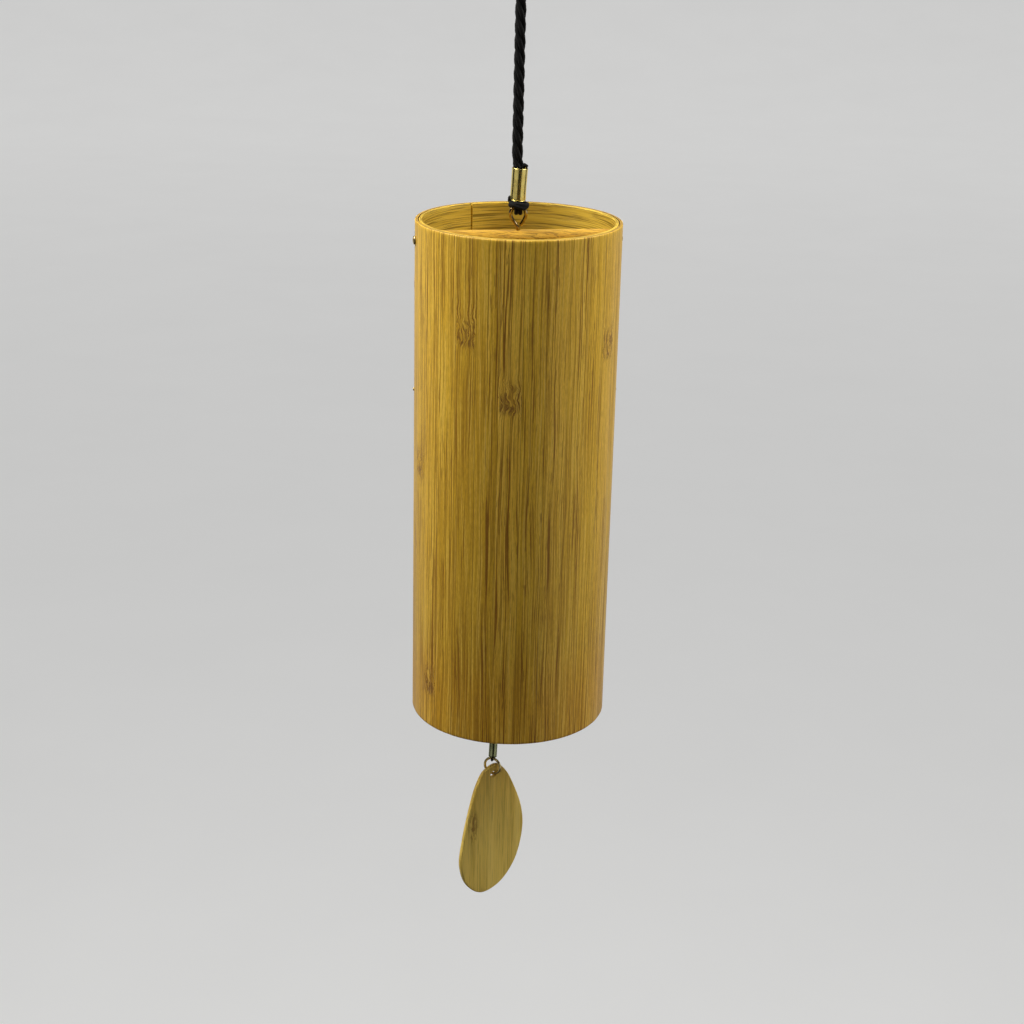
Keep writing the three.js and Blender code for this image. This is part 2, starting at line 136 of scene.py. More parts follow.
# ---- Materials ----
class Look:
    """One node material: a Principled shader, and short calls that wire textures into it."""

    def __init__(self, name, roughness=0.5, metallic=0.0, **constants):
        self.material = bpy.data.materials.new(name)
        self.material.use_nodes = True
        self.tree = self.material.node_tree
        self.shader = self.tree.nodes["Principled BSDF"]
        self.shader.inputs["Roughness"].default_value = roughness
        self.shader.inputs["Metallic"].default_value = metallic
        for socket, value in constants.items():
            self.shader.inputs[socket.replace("_", " ")].default_value = value
        where = self.node("ShaderNodeTexCoord").outputs["Object"]
        self.where = self.scaled(where, (1 / MM, 1 / MM, 1 / MM))

    def node(self, kind, **settings):
        made = self.tree.nodes.new(kind)
        for key, value in settings.items():
            setattr(made, key, value)
        return made

    def feed(self, socket, value):
        if isinstance(value, bpy.types.NodeSocket):
            self.tree.links.new(value, socket)
        else:
            socket.default_value = value

    def scaled(self, vector, scale):
        made = self.node("ShaderNodeVectorMath", operation="MULTIPLY")
        self.feed(made.inputs[0], vector)
        self.feed(made.inputs[1], scale)
        return made.outputs[0]

    def attribute(self, name):
        return self.node("ShaderNodeAttribute", attribute_name=name).outputs["Vector"]

    def parts(self, vector):
        made = self.node("ShaderNodeSeparateXYZ")
        self.feed(made.inputs[0], vector)
        return made.outputs

    def combined(self, x, y, z=0.0):
        made = self.node("ShaderNodeCombineXYZ")
        for index, value in enumerate((x, y, z)):
            self.feed(made.inputs[index], value)
        return made.outputs[0]

    def noise(self, vector, scale=1.0, detail=4.0, roughness=0.55, distortion=0.0):
        made = self.node("ShaderNodeTexNoise")
        self.feed(made.inputs["Vector"], vector)
        self.feed(made.inputs["Scale"], scale)
        self.feed(made.inputs["Detail"], detail)
        self.feed(made.inputs["Roughness"], roughness)
        self.feed(made.inputs["Distortion"], distortion)
        return made.outputs["Fac"]

    def streaks(self, vector, scale, *settings):
        """Noise drawn out by its own scale in each direction."""
        return self.noise(self.scaled(vector, scale), 1.0, *settings)

    def cells(self, vector, scale=1.0):
        made = self.node("ShaderNodeTexVoronoi", feature="F1")
        self.feed(made.inputs["Vector"], vector)
        self.feed(made.inputs["Scale"], scale)
        return made.outputs["Distance"]

    def math(self, operation, first, second=0.0):
        made = self.node("ShaderNodeMath", operation=operation)
        self.feed(made.inputs[0], first)
        self.feed(made.inputs[1], second)
        return made.outputs[0]

    def times(self, first, *others):
        for other in others:
            first = self.math("MULTIPLY", first, other)
        return first

    def span(self, value, low, high, to_low=0.0, to_high=1.0):
        made = self.node("ShaderNodeMapRange", interpolation_type="SMOOTHSTEP")
        for index, item in enumerate((value, low, high, to_low, to_high)):
            self.feed(made.inputs[index], item)
        return made.outputs[0]

    def ramp(self, value, *stops):
        made = self.node("ShaderNodeValToRGB")
        self.feed(made.inputs[0], value)
        elements = made.color_ramp.elements
        while len(elements) < len(stops):
            elements.new(0.5)
        for element, (position, colour) in zip(elements, stops):
            element.position = position
            element.color = (*colour, 1)
        return made.outputs[0]

    def mix(self, factor, first, second, blend="MIX"):
        made = self.node("ShaderNodeMix", data_type="RGBA", blend_type=blend)
        self.feed(made.inputs["Factor"], factor)
        self.feed(made.inputs[6], first)
        self.feed(made.inputs[7], second)
        return made.outputs[2]

    def tinted(self, colour, tint):
        return self.mix(1.0, colour, tint, "MULTIPLY")

    def painted(self, colour, tone, *shares):
        """The colour, covered with a flat tone as far as the product of the shares."""
        return self.mix(self.times(*shares), colour, (*tone, 1))

    def finish(self, colour, roughness=None, height=None, depth=0.05):
        """Colour and roughness sockets, and a relief whose full height is depth mm."""
        self.feed(self.shader.inputs["Base Color"], colour)
        if roughness is not None:
            self.feed(self.shader.inputs["Roughness"], roughness)
        if height is not None:
            bump = self.node("ShaderNodeBump")
            bump.inputs["Strength"].default_value = 1.0
            bump.inputs["Distance"].default_value = depth * MM
            self.feed(bump.inputs["Height"], height)
            self.feed(self.shader.inputs["Normal"], bump.outputs[0])
        return self.material


def bamboo_strip_look():
    """Upright strips: 'grain' holds mm across the strip, mm of height and the strip's own number;
    'strip' holds mm from its node, how dark its joint is and its tone."""
    look = Look("bamboo_strips", roughness=0.46, Specular_IOR_Level=0.32)
    across, height, number = look.parts(look.attribute("grain"))
    from_node, joint_dark, tone = look.parts(look.attribute("strip"))

    # Near its node the fibre swerves, so the pattern is read a little to one side there.
    near = look.times(look.span(from_node, 13.0, 1.0), look.span(from_node, -7.0, -1.0))
    place_in_strip = look.combined(across, height, number)
    bend = look.streaks(place_in_strip, (0.30, 0.15, 1.0), 3.0)
    bend = look.math("SUBTRACT", bend, 0.5)
    swerve = look.times(bend, near, 6.0)
    wander = look.streaks(place_in_strip, (0.1, 0.02, 1.0), 1.0)
    wander = look.times(look.math("SUBTRACT", wander, 0.5), 2.2)
    read_across = look.math("ADD", look.math("ADD", across, swerve), wander)
    spot = look.combined(read_across, height, look.times(number, 7.3))

    broad = look.streaks(spot, (0.55, 0.012, 1.0), 3.0, 0.55)
    bundles = look.streaks(spot, (2.1, 0.010, 1.0), 1.0, 0.5, 0.05)
    fibres = look.streaks(spot, (2.7, 0.026, 1.0), 1.0, 0.5)
    dashes = look.streaks(spot, (3.0, 0.13, 1.0), 2.0, 0.5, 0.1)
    crowding = look.streaks(place_in_strip, (0.28, 0.008, 3.1), 1.0)

    colour = look.ramp(broad, (0.30, (0.62, 0.355, 0.025)), (0.50, (0.70, 0.415, 0.031)),
                       (0.68, (0.76, 0.465, 0.040)))
    # Painted shade: the strips grow darker towards the tube's foot, where the light falls off.
    painted_shade_low = look.ramp(look.span(height, 0.0, -165.0), (0.1, (1.0, 1.0, 1.0)), (0.9, (0.84, 0.83, 0.82)),
                      (0.98, (0.82, 0.74, 0.64)))
    colour = look.tinted(colour, painted_shade_low)
    # The tone ramp makes a strip paler or darker, its own tone; the blue it adds at the pale end is painted
    # reflection of a blue backdrop.
    tint = look.ramp(tone, (0.0, (0.84, 0.82, 0.68)), (0.5, (0.96, 0.96, 0.92)), (1.0, (1.07, 1.08, 1.40)))
    colour = look.tinted(colour, tint)
    dark = (0.20, 0.074, 0.006)
    bundle = look.span(bundles, 0.61, 0.65)
    weight = look.span(crowding, 0.40, 0.60, 0.25, 0.85)
    colour = look.painted(colour, dark, bundle, weight, 0.68)
    fibre = look.span(fibres, 0.565, 0.61)
    fibre_weight = look.math("ADD", look.times(weight, 0.75), 0.2)
    colour = look.painted(colour, dark, fibre, fibre_weight)
    pale = look.span(fibres, 0.46, 0.36)
    colour = look.painted(colour, (0.88, 0.60, 0.11), pale, 0.40)
    dash = look.span(dashes, 0.60, 0.66)
    colour = look.painted(colour, (0.22, 0.095, 0.012), dash, weight, 0.75)
    pores = look.streaks(spot, (3.4, 0.5, 1.0), 2.0, 0.6)
    pore = look.ramp(pores, (0.36, (0.88, 0.87, 0.84)), (0.62, (1.07, 1.07, 1.08)))
    colour = look.tinted(colour, pore)

    # The node itself: a cluster of dark, bent fibres inside one strip.
    streaks = look.streaks(spot, (1.7, 0.17, 1.0), 3.0, 0.6, 0.2)
    inside = look.span(look.math("ABSOLUTE", across), 3.5, 2.7)
    heart = look.times(look.span(from_node, 8.5, 2.0), look.span(from_node, -4.6, -2.2))
    cluster = look.times(heart, inside, look.span(streaks, 0.47, 0.58))
    colour = look.painted(colour, (0.135, 0.05, 0.010), cluster, 0.85)
    colour = look.painted(colour, (0.36, 0.175, 0.022), near, inside, 0.22)

    edge = look.span(look.math("ABSOLUTE", across), 3.46, 3.60)
    colour = look.painted(colour, (0.15, 0.065, 0.012), edge, joint_dark, 0.7)

    relief = look.math("SUBTRACT", 1.0, look.times(look.math("MAXIMUM", fibre, bundle), 0.55))
    relief = look.math("SUBTRACT", relief, look.times(cluster, 0.9))
    roughness = look.span(bundles, 0.35, 0.65, 0.42, 0.56)
    return look.finish(colour, roughness, relief, 0.035)


def bamboo_sheet_look(name, along, deep, middle, pale, streak=0.5, wave=0.0, finer=(3.6, 9)):
    """Bamboo or wood whose fibres run along the frame's 'x' or 'z', or 'round' the tube."""
    look = Look(name, roughness=0.5, Specular_IOR_Level=0.2)
    spot = look.attribute("grain") if along == "round" else look.where
    steps = {"round": (0.012, 0.55, 1.0), "x": (0.03, 0.6, 0.6), "z": (0.5, 0.5, 0.012)}[along]
    if wave:
        sway = look.streaks(spot, (0.045, 0.2, 0.2), 2.0)
        sway = look.times(look.math("SUBTRACT", sway, 0.5), wave)
        x, y, z = look.parts(spot)
        spot = look.combined(x, look.math("ADD", y, sway), look.math("ADD", z, sway))
    broad = look.streaks(spot, steps, 3.0)
    bundles = look.streaks(spot, [step * finer[0] for step in steps], 3.0, 0.55, 0.1)
    fibres = look.streaks(spot, [step * finer[1] for step in steps], 2.0, 0.5)
    colour = look.ramp(broad, (0.32, deep), (0.5, middle), (0.68, pale))
    dark = [part * 0.42 for part in deep]
    bundle = look.span(bundles, 0.54, 0.61)
    colour = look.painted(colour, dark, bundle, streak)
    fibre = look.span(fibres, 0.55, 0.64)
    colour = look.painted(colour, dark, fibre, streak * 0.8)
    bright = look.span(fibres, 0.44, 0.30)
    colour = look.painted(colour, [part * 1.15 for part in pale], bright, 0.25)
    roughness = look.span(bundles, 0.35, 0.65, 0.44, 0.58)
    relief = look.math("SUBTRACT", 1.0, look.math("MAXIMUM", bundle, fibre))
    return look, colour, roughness, relief


def sail_look():
    """The sail: fibres run down it, a brown knot sits by its left edge, and painted light makes it paler
    near the top.
    """
    look, colour, roughness, relief = bamboo_sheet_look(
        "bamboo_sail", "z", (0.68, 0.46, 0.085), (0.80, 0.56, 0.115), (0.86, 0.62, 0.15), 0.34)
    low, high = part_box("wind_sail")
    knot = ((low.x + 0.22 * (high.x - low.x)) / MM, 0, (high.z - 0.44 * (high.z - low.z)) / MM)
    off = look.node("ShaderNodeVectorMath", operation="SUBTRACT")
    look.feed(off.inputs[0], look.where)
    look.feed(off.inputs[1], knot)
    x, _y, z = look.parts(off.outputs[0])
    reach = look.math("SQRT", look.math("ADD", look.math("POWER", look.times(x, 0.50), 2.0),
                                        look.math("POWER", look.times(z, 0.12), 2.0)))
    torn = look.streaks(look.where, (1.1, 1.1, 0.3), 4.0, 0.65, 0.8)
    # Painted light: the sail is made paler towards its top, round the hole, to lift the shade there.
    painted_light_top = look.span(look.parts(look.where)[2], high.z / MM - 24.0, high.z / MM - 2.0)
    colour = look.mix(painted_light_top, colour, look.tinted(colour, (1.16, 1.10, 1.0, 1)))
    colour = look.painted(colour, (0.23, 0.105, 0.02), look.span(reach, 1.15, 0.25),
                          look.span(torn, 0.42, 0.58), 0.8)
    return look.finish(colour, roughness, relief, 0.05)


def end_grain_look():
    """Cut ends of upright bamboo: pale, with the dark dots of its fibre bundles."""
    look = Look("bamboo_ends", roughness=0.6, Specular_IOR_Level=0.25)
    dots = look.cells(look.scaled(look.where, (2.6, 2.6, 0.2)))
    blotch = look.noise(look.where, 0.5, 3.0)
    colour = look.ramp(blotch, (0.35, (0.27, 0.155, 0.022)), (0.65, (0.38, 0.225, 0.034)))
    colour = look.painted(colour, (0.30, 0.15, 0.035), look.span(dots, 0.30, 0.12), 0.5)
    return look.finish(colour, None, dots, 0.04)


def metal_look(name, bright, worn, roughness, lines=(1.0, 1.0, 1.0), patina_size=0.35):
    """Metal with a faint cloudy patina and fine drawn lines; lines stretches those."""
    look = Look(name, metallic=1.0)
    patina = look.noise(look.where, patina_size, 4.0, 0.6)
    spots = look.cells(look.where, patina_size * 3)
    drawn = look.noise(look.scaled(look.where, lines), 2.0, 3.0, 0.6)
    colour = look.ramp(patina, (0.30, worn), (0.62, bright))
    colour = look.painted(colour, [part * 0.55 for part in worn], look.span(spots, 0.16, 0.04), 0.35)
    rough = look.math("ADD", look.span(patina, 0.6, 0.35, 0.0, 0.08),
                      look.span(drawn, 0.3, 0.7, roughness, roughness * 1.35))
    return look.finish(colour, rough, drawn, 0.006)


def cord_look(name, dark, pale, fibre_scale):
    """'grain' holds the angle round the strand in turns and mm along it."""
    look = Look(name, roughness=0.8, Specular_IOR_Level=0.15, Sheen_Weight=0.02, Sheen_Roughness=0.5)
    turns, along, _number = look.parts(look.attribute("grain"))
    twisted = look.combined(look.math("ADD", look.times(turns, 9.0), along), look.times(along, 0.3))
    fibre = look.noise(twisted, fibre_scale, 4.0, 0.65)
    fuzz = look.noise(look.where, 6.0, 3.0, 0.7)
    colour = look.ramp(fibre, (0.32, dark), (0.7, pale))
    colour = look.painted(colour, [part * 1.8 for part in pale], look.span(fuzz, 0.55, 0.75, 0.0, 0.35))
    rough = look.span(fuzz, 0.3, 0.7, 0.9, 0.7)
    return look.finish(colour, rough, fibre, 0.08)


def plain_sheet(*words):
    """A finished look of bamboo_sheet_look, as it stands."""
    look, colour, roughness, relief = bamboo_sheet_look(*words)
    return look.finish(colour, roughness, relief, 0.05)


def lining_look():
    """The rolled inner ply, with painted light and shade in bands round the bore, from seam to seam."""
    look, colour, roughness, relief = bamboo_sheet_look(
        "bamboo_lining", "round", (0.50, 0.31, 0.030), (0.61, 0.40, 0.044), (0.69, 0.47, 0.062),
        0.85, 0.0, (3.4, 5.6))
    along = look.parts(look.attribute("grain"))[0]
    # Painted light and shade: the sheet is made lighter and darker in bands round the bore.
    painted_light_and_shade = ((0.0, 1.2), (0.1, 0.96), (0.75, 1.02), (0.87, 0.84), (0.93, 0.92), (0.98, 1.2))
    share = look.math("DIVIDE", along, SHEET_LENGTH)
    tone = look.ramp(share, *[(stop, (value, value, value)) for stop, value in painted_light_and_shade])
    colour = look.tinted(colour, tone)
    return look.finish(colour, roughness, relief, 0.05)


def glue_look():
    look = Look("glue_line", roughness=0.7, Specular_IOR_Level=0.2)
    lumps = look.noise(look.where, 1.5, 3.0)
    colour = look.ramp(lumps, (0.3, (0.05, 0.022, 0.006)), (0.7, (0.13, 0.06, 0.014)))
    return look.finish(colour, None, lumps, 0.05)


LOOKS = {
    "glue": glue_look(),
    "strips": bamboo_strip_look(),
    "ends": end_grain_look(),
    "lining": lining_look(),
    "bar": plain_sheet("bamboo_bar", "x", (0.44, 0.22, 0.02), (0.56, 0.305, 0.03), (0.64, 0.37, 0.042),
                       0.6, 3.0, (2.6, 6.0)),
    "sail": sail_look(),
    "clapper": plain_sheet("clapper_wood", "x", (0.36, 0.2, 0.06), (0.5, 0.31, 0.11), (0.6, 0.4, 0.16),
                           0.4),
    "brass": metal_look("brass", (0.93, 0.76, 0.25), (0.80, 0.62, 0.18), 0.16, (1, 1, 0.1)),
    # A darker copy of the brass for nails, pins and the ring: its dark patina is partly wear and partly
    # painted shade.
    "worn_and_shaded_brass": metal_look("worn_and_shaded_brass", (0.86, 0.70, 0.32), (0.42, 0.29, 0.11), 0.08, (1, 1, 0.1), 0.7),
    # A still darker copy of the brass for the wire eye, as painted shade.
    "wire_brass_painted_shade": metal_look("wire_brass_painted_shade", (0.66, 0.50, 0.24), (0.28, 0.17, 0.07), 0.07, (1, 1, 0.1), 0.7),
    "dull_brass": metal_look("dull_brass", (0.40, 0.42, 0.22), (0.27, 0.28, 0.13), 0.18, (1, 1, 0.1)),
    "plate_steel": metal_look("plate_steel", (0.58, 0.58, 0.57), (0.36, 0.35, 0.33), 0.3, (1, 1, 6), 0.1),
    "rod_steel": metal_look("rod_steel", (0.72, 0.72, 0.73), (0.45, 0.45, 0.46), 0.2, (4, 4, 0.1), 0.1),
    "solder": metal_look("solder", (0.62, 0.62, 0.60), (0.40, 0.39, 0.36), 0.35),
    "cord": cord_look("black_cord", (0.0014, 0.0014, 0.0016), (0.008, 0.0075, 0.0068), 1.6),
    "thread": cord_look("thread", (0.012, 0.010, 0.008), (0.055, 0.046, 0.036), 2.5),
}


# ---- Mesh making ----
GRAINED = ("strips", "lining", "cord", "thread")


def mesh_object(name, points, faces):
    mesh = bpy.data.meshes.new(name)
    mesh.from_pydata([tuple(point) for point in points], [], faces)
    made = bpy.data.objects.new(name, mesh)
    bpy.context.scene.collection.objects.link(made)
    return made


def make_piece(name, solid, look, body, replaces, smooth_angle=40):
    """A mesh piece. A solid is its points in frame metres, its faces, and a dictionary of fields
    that hold one vector for each corner; only the grained looks keep the fields."""
    points, faces, fields = solid
    piece = mesh_object(name, points, faces)
    mesh = piece.data
    for field, values in fields.items() if look in GRAINED else ():
        layer = mesh.attributes.new(field, "FLOAT_VECTOR", "CORNER")
        layer.data.foreach_set("vector", np.asarray(values, np.float32).ravel())
    mesh.materials.append(LOOKS[look])
    mesh.update()
    mesh.shade_smooth()
    mesh.set_sharp_from_angle(angle=math.radians(smooth_angle))
    if body is not None:
        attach(piece, body)
    if replaces:
        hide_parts(*replaces)
    return piece


def join_solids(solids):
    """One solid from several closed ones."""
    points, faces, grain = [], [], []
    for solid_points, solid_faces, fields in solids:
        start = len(points)
        points.extend(solid_points)
        faces.extend([[start + index for index in face] for face in solid_faces])
        grain.extend(fields.get("grain", ()))
    return points, faces, {"grain": grain}


def row_faces(rows, count):
    """Quads between neighbouring rows of count points each."""
    faces = []
    for low in range(0, (rows - 1) * count, count):
        for index in range(count):
            after = (index + 1) % count
            faces.append([low + index, low + count + index, low + count + after, low + after])
    return faces


def arc(across, up, wide, tall, start, end, steps):
    """Outline points round (across, up), from start to end in degrees."""
    angles = [math.radians(start + (end - start) * step / steps) for step in range(steps + 1)]
    return [(across + wide * math.cos(angle), up + tall * math.sin(angle)) for angle in angles]


def turned_solid(outline, sides, wobble=None):
    """A closed ring or solid of revolution about z. outline is (radius, height) in mm from its
    lower end up: it starts and ends on the axis, or else it closes on itself."""
    closed = outline[0] != outline[-1] and outline[0][0] > 0
    points, rows = [], []
    for radius, height in outline:
        if radius == 0:
            rows.append([len(points)] * sides)
            points.append((0.0, 0.0, height))
            continue
        rows.append(list(range(len(points), len(points) + sides)))
        for side in range(sides):
            angle = 2 * math.pi * side / sides
            reach = radius * (1 + (wobble(angle, height) if wobble else 0))
            points.append((reach * math.cos(angle), reach * math.sin(angle), height))
    if closed:
        rows.append(rows[0])
    faces = []
    for lower, upper in zip(rows, rows[1:]):
        for side in range(sides):
            after = (side + 1) % sides
            face = [lower[side], lower[after], upper[after], upper[side]]
            faces.append([point for index, point in enumerate(face) if point != face[index - 1]])
    return [place(*point) for point in points], faces, {}


def frames_along(points):
    """Tangents and two crosswise directions that don't twist, for a list of Vectors."""
    count = len(points)
    tangents = []
    for index in range(count):
        before = points[max(index - 1, 0)]
        after = points[min(index + 1, count - 1)]
        tangents.append((after - before).normalized())
    start = Vector((0, 1, 0))
    if abs(tangents[0].dot(start)) > 0.9:
        start = Vector((1, 0, 0))
    side = (start - tangents[0] * start.dot(tangents[0])).normalized()
    sides = [side]
    for index in range(1, count):
        turn = tangents[index - 1].rotation_difference(tangents[index])
        side = turn @ side
        side = (side - tangents[index] * side.dot(tangents[index])).normalized()
        sides.append(side)
    return [(tangent, side, tangent.cross(side)) for tangent, side in zip(tangents, sides)]


def swept_solid(points, radius, sides=12, lobes=0, lobe_depth=0.0, turns_per_mm=0.0, round_ends=True):
    """A tube with closed ends along points in mm; radius is one number, or its two ends' numbers.
    lobes gives a twisted yarn its ridges."""
    first_radius, last_radius = radius if isinstance(radius, tuple) else (radius, radius)
    ways = frames_along(points)
    lengths = [0.0]
    for before, after in zip(points, points[1:]):
        lengths.append(lengths[-1] + (after - before).length)
    stations = [(index, 0.0, 1.0) for index in range(len(points))]
    if round_ends:
        caps = [(0.35, 0.92), (0.75, 0.62)]
        head = [(0, -reach, shrink) for reach, shrink in reversed(caps)]
        tail = [(len(points) - 1, reach, shrink) for reach, shrink in caps]
        stations = head + stations + tail
    total = lengths[-1] or 1.0
    verts, grain_rows = [], []
    for index, reach, shrink in stations:
        tangent, side, other = ways[index]
        size = first_radius + (last_radius - first_radius) * (lengths[index] / total)
        centre = points[index] + tangent * reach * size
        twist = 2 * math.pi * turns_per_mm * lengths[index]
        for step in range(sides):
            angle = 2 * math.pi * step / sides
            lobe = lobe_depth * math.cos(lobes * (angle - twist)) if lobes else 0
            reach_out = size * shrink * (1 + lobe)
            verts.append(centre + (side * math.cos(angle) + other * math.sin(angle)) * reach_out)
        grain_rows.append(lengths[index] + reach * size)
    faces, grain = [], []
    for row in range(len(stations) - 1):
        here = row * sides
        for step in range(sides):
            after = (step + 1) % sides
            faces.append([here + step, here + after, here + sides + after, here + sides + step])
            low = grain_rows[row]
            high = grain_rows[row + 1]
            grain.extend([(step / sides, low, 0), ((step + 1) / sides, low, 0),
                          ((step + 1) / sides, high, 0), (step / sides, high, 0)])
    first = len(verts)
    verts.append(sum((verts[step] for step in range(sides)), Vector()) / sides)
    last_row = (len(stations) - 1) * sides
    verts.append(sum((verts[last_row + step] for step in range(sides)), Vector()) / sides)
    for step in range(sides):
        after = (step + 1) % sides
        faces.append([first, after, step])
        faces.append([first + 1, last_row + step, last_row + after])
        grain.extend([(0.5, grain_rows[0], 0)] * 3)
        grain.extend([(0.5, grain_rows[-1], 0)] * 3)
    return [place(*vert) for vert in verts], faces, {"grain": grain}


def smooth_line(points, spacing):
    """A Catmull-Rom line through points in mm, resampled about spacing apart."""
    given = [Vector(point) for point in points]
    padded = [given[0] * 2 - given[1], *given, given[-1] * 2 - given[-2]]
    line = []
    for index in range(1, len(padded) - 2):
        a, b, c, d = padded[index - 1:index + 3]
        steps = max(2, math.ceil((c - b).length / spacing))
        for step in range(steps):
            t = step / steps
            line.append(0.5 * ((2 * b) + (c - a) * t + (2 * a - 5 * b + 4 * c - d) * t * t
                               + (3 * b - a - 3 * c + d) * t ** 3))
    line.append(given[-1])
    return line


def moved(solid, matrix):
    """A turned solid, made round the z axis in mm, carried by matrix (also in mm)."""
    points, faces, fields = solid
    origin = place(0, 0, 0)
    carried = [place(*(matrix @ ((point - origin) / MM))) for point in points]
    return carried, faces, fields


def pointing(direction, at):
    """The matrix that carries the z axis to direction and the origin to at."""
    turn = Vector((0, 0, 1)).rotation_difference(Vector(direction)).to_matrix().to_4x4()
    return Matrix.Translation(Vector(at)) @ turn


def rounded_rod(radius, bottom, top, edge, rows=1):
    """Outline of a solid rod whose ends have rounded edges of the given radius."""
    outline = [(0, bottom)] + arc(radius - edge, bottom + edge, edge, edge, -90, 0, 4)
    for row in range(1, rows):
        outline.append((radius, bottom + edge + (top - bottom - 2 * edge) * row / rows))
    return outline + arc(radius - edge, top - edge, edge, edge, 0, 90, 4) + [(0, top)]


# ---- Hanging cord ----
LINE_X = -AXIS_X / MM                 # the cord hangs plumb from the origin
BAIL_Z = height_of(JOINTS["bail_swing"]["pos_m"][2])
STRAND_RADIUS = 0.71
STRAND_ORBIT = 0.99
CORD_SPACING = 0.6                    # between the rings of a strand's mesh
KNOT_SPACING = 0.3
YARN = {"sides": 16, "lobes": 5, "lobe_depth": 0.07, "turns_per_mm": 0.22}
CORD_LAY = 18.6
LAY_PHASE_Z = 51.3                    # here the four strands stand at 45 degrees
SPLIT_Z = LAY_PHASE_Z + CORD_LAY      # the strands part in two pairs for the eye
CORD_ROUTE = [(0.72, 0, 11), (0.65, 0, 14), (0.55, 0, 16.2), (0.1, 0, 19), (0, 0, 24), (0, 0, 36),
              (0, 0, 48), (0, 0, 60), (0, 0, SPLIT_Z)]
EYE_HALF = [(-0.7, 0, SPLIT_Z - 1.2), (-0.8, 0, SPLIT_Z), (-1.75, 0, 74.5), (-4.2, 0, 81),
            (-6.6, 0, 89), (-5, 0, 96.2)]
EYE_TOP = (0, 0, 99.4)
EYE_HALF_TURNS = 9


def cord_piece(name, solids, body, replaced):
    return make_piece(name, join_solids(solids), "cord", body, replaced, 60)


def make_cord():
    """The four strands of the laid cord, as far as the split."""
    route = smooth_line([(x + LINE_X, y, z) for x, y, z in CORD_ROUTE], CORD_SPACING)
    solids = []
    for strand in range(4):
        path = []
        for centre in route:
            angle = math.radians(45 + 90 * strand) - 2 * math.pi * (centre.z - LAY_PHASE_Z) / CORD_LAY
            path.append(centre + Vector((math.cos(angle), math.sin(angle), 0)) * STRAND_ORBIT)
        solids.append(swept_solid(path, STRAND_RADIUS, **YARN))
    cord = cord_piece("cord_laid", solids, None, ["hanging_cord"])
    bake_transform(cord)
    return cord


def make_eye():
    """Two strands twisted as a pair, up one side of the eye and down the other."""
    route = EYE_HALF + [EYE_TOP] + [(-x, y, z) for x, y, z in reversed(EYE_HALF)]
    line = smooth_line([(x + LINE_X, y, z) for x, y, z in route], CORD_SPACING)
    total = sum((after - before).length for before, after in zip(line, line[1:]))
    outward = Vector((0, 1, 0))
    solids = []
    for strand in range(2):
        path, walked = [], 0.0
        for index, centre in enumerate(line):
            if index:
                walked += (centre - line[index - 1]).length
            before = line[max(index - 1, 0)]
            after = line[min(index + 1, len(line) - 1)]
            tangent = (after - before).normalized()
            flat = tangent.cross(outward).normalized()
            angle = math.pi * (0.5 + strand + EYE_HALF_TURNS * walked / total)
            aside = flat * math.cos(angle) + outward * math.sin(angle)
            path.append(centre + aside * STRAND_RADIUS)
        solids.append(swept_solid(path, STRAND_RADIUS, **YARN))
    return cord_piece("cord_eye_loop", solids, "hook_eye", ["cord_eye"])


def make_bight():
    """Two strands side by side that come out of the ferrule, pass under the wire and go back up."""
    bail_x = (JOINTS["bail_swing"]["pos_m"][0] - AXIS_X) / MM
    half_gap, reach, thickness = 0.62, 1.75, 0.66
    solids = []
    for side in (-1, 1):
        x = bail_x + side * half_gap
        path = [(x * 0.8, -0.75, BAIL_Z + 5.4), (x * 0.9, -1.0, BAIL_Z + 3.2), (x, -1.6, BAIL_Z + 1.5)]
        path += [(x, y, z) for y, z in arc(0, BAIL_Z, reach, reach, 180, 360, 12)]
        path += [(x, 1.6, BAIL_Z + 1.5), (x * 0.9, 1.0, BAIL_Z + 3.2), (x * 0.8, 0.75, BAIL_Z + 5.4)]
        solids.append(swept_solid(smooth_line(path, 0.35), thickness, **YARN))
    return cord_piece("cord_bight_strands", solids, "cord", ["cord_bight"])


def make_wrap():
    """The binding turns round the bight, and the tucked end that rises beside the ferrule."""
    low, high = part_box("cord_wrap")
    middle_x = ((low.x + high.x) / 2 - AXIS_X) / MM + 0.12
    bottom_z = height_of(low.z)
    wide, deep, rise, turns = 2.5, 2.75, 1.1, 2.25
    thickness, tuck_thickness = 0.66, 0.60
    steps = round(26 * turns)
    path = []
    for step in range(steps + 1):
        share = step / steps
        angle = math.radians(200) - 2 * math.pi * turns * share
        wander = 0.1 * math.sin(2.7 * angle)
        path.append((middle_x + (wide + wander) * math.cos(angle), deep * math.sin(angle),
                     bottom_z + rise * share - 0.30 * math.cos(angle) + 0.1 * math.sin(3 * angle)))
    left = middle_x - wide
    path += [(left - 0.12, 1.0, bottom_z + 1.3), (left - 0.30, 0.2, bottom_z + 1.9),
             (left - 0.22, -0.35, bottom_z + 2.65)]
    tuck = [(left - 0.1, -1.1, bottom_z + 1.0), (left + 0.8, -2.45, bottom_z + 0.75),
            (middle_x + 0.2, -3.05, bottom_z + 0.1), (middle_x + 1.6, -2.35, bottom_z - 0.35),
            (middle_x + 2.2, -1.3, bottom_z + 0.25)]
    solids = [swept_solid(smooth_line(path, KNOT_SPACING), thickness, **YARN),
              swept_solid(smooth_line(tuck, KNOT_SPACING), tuck_thickness, **YARN)]
    return cord_piece("cord_wrap_turns", solids, "cord", ["cord_wrap"])


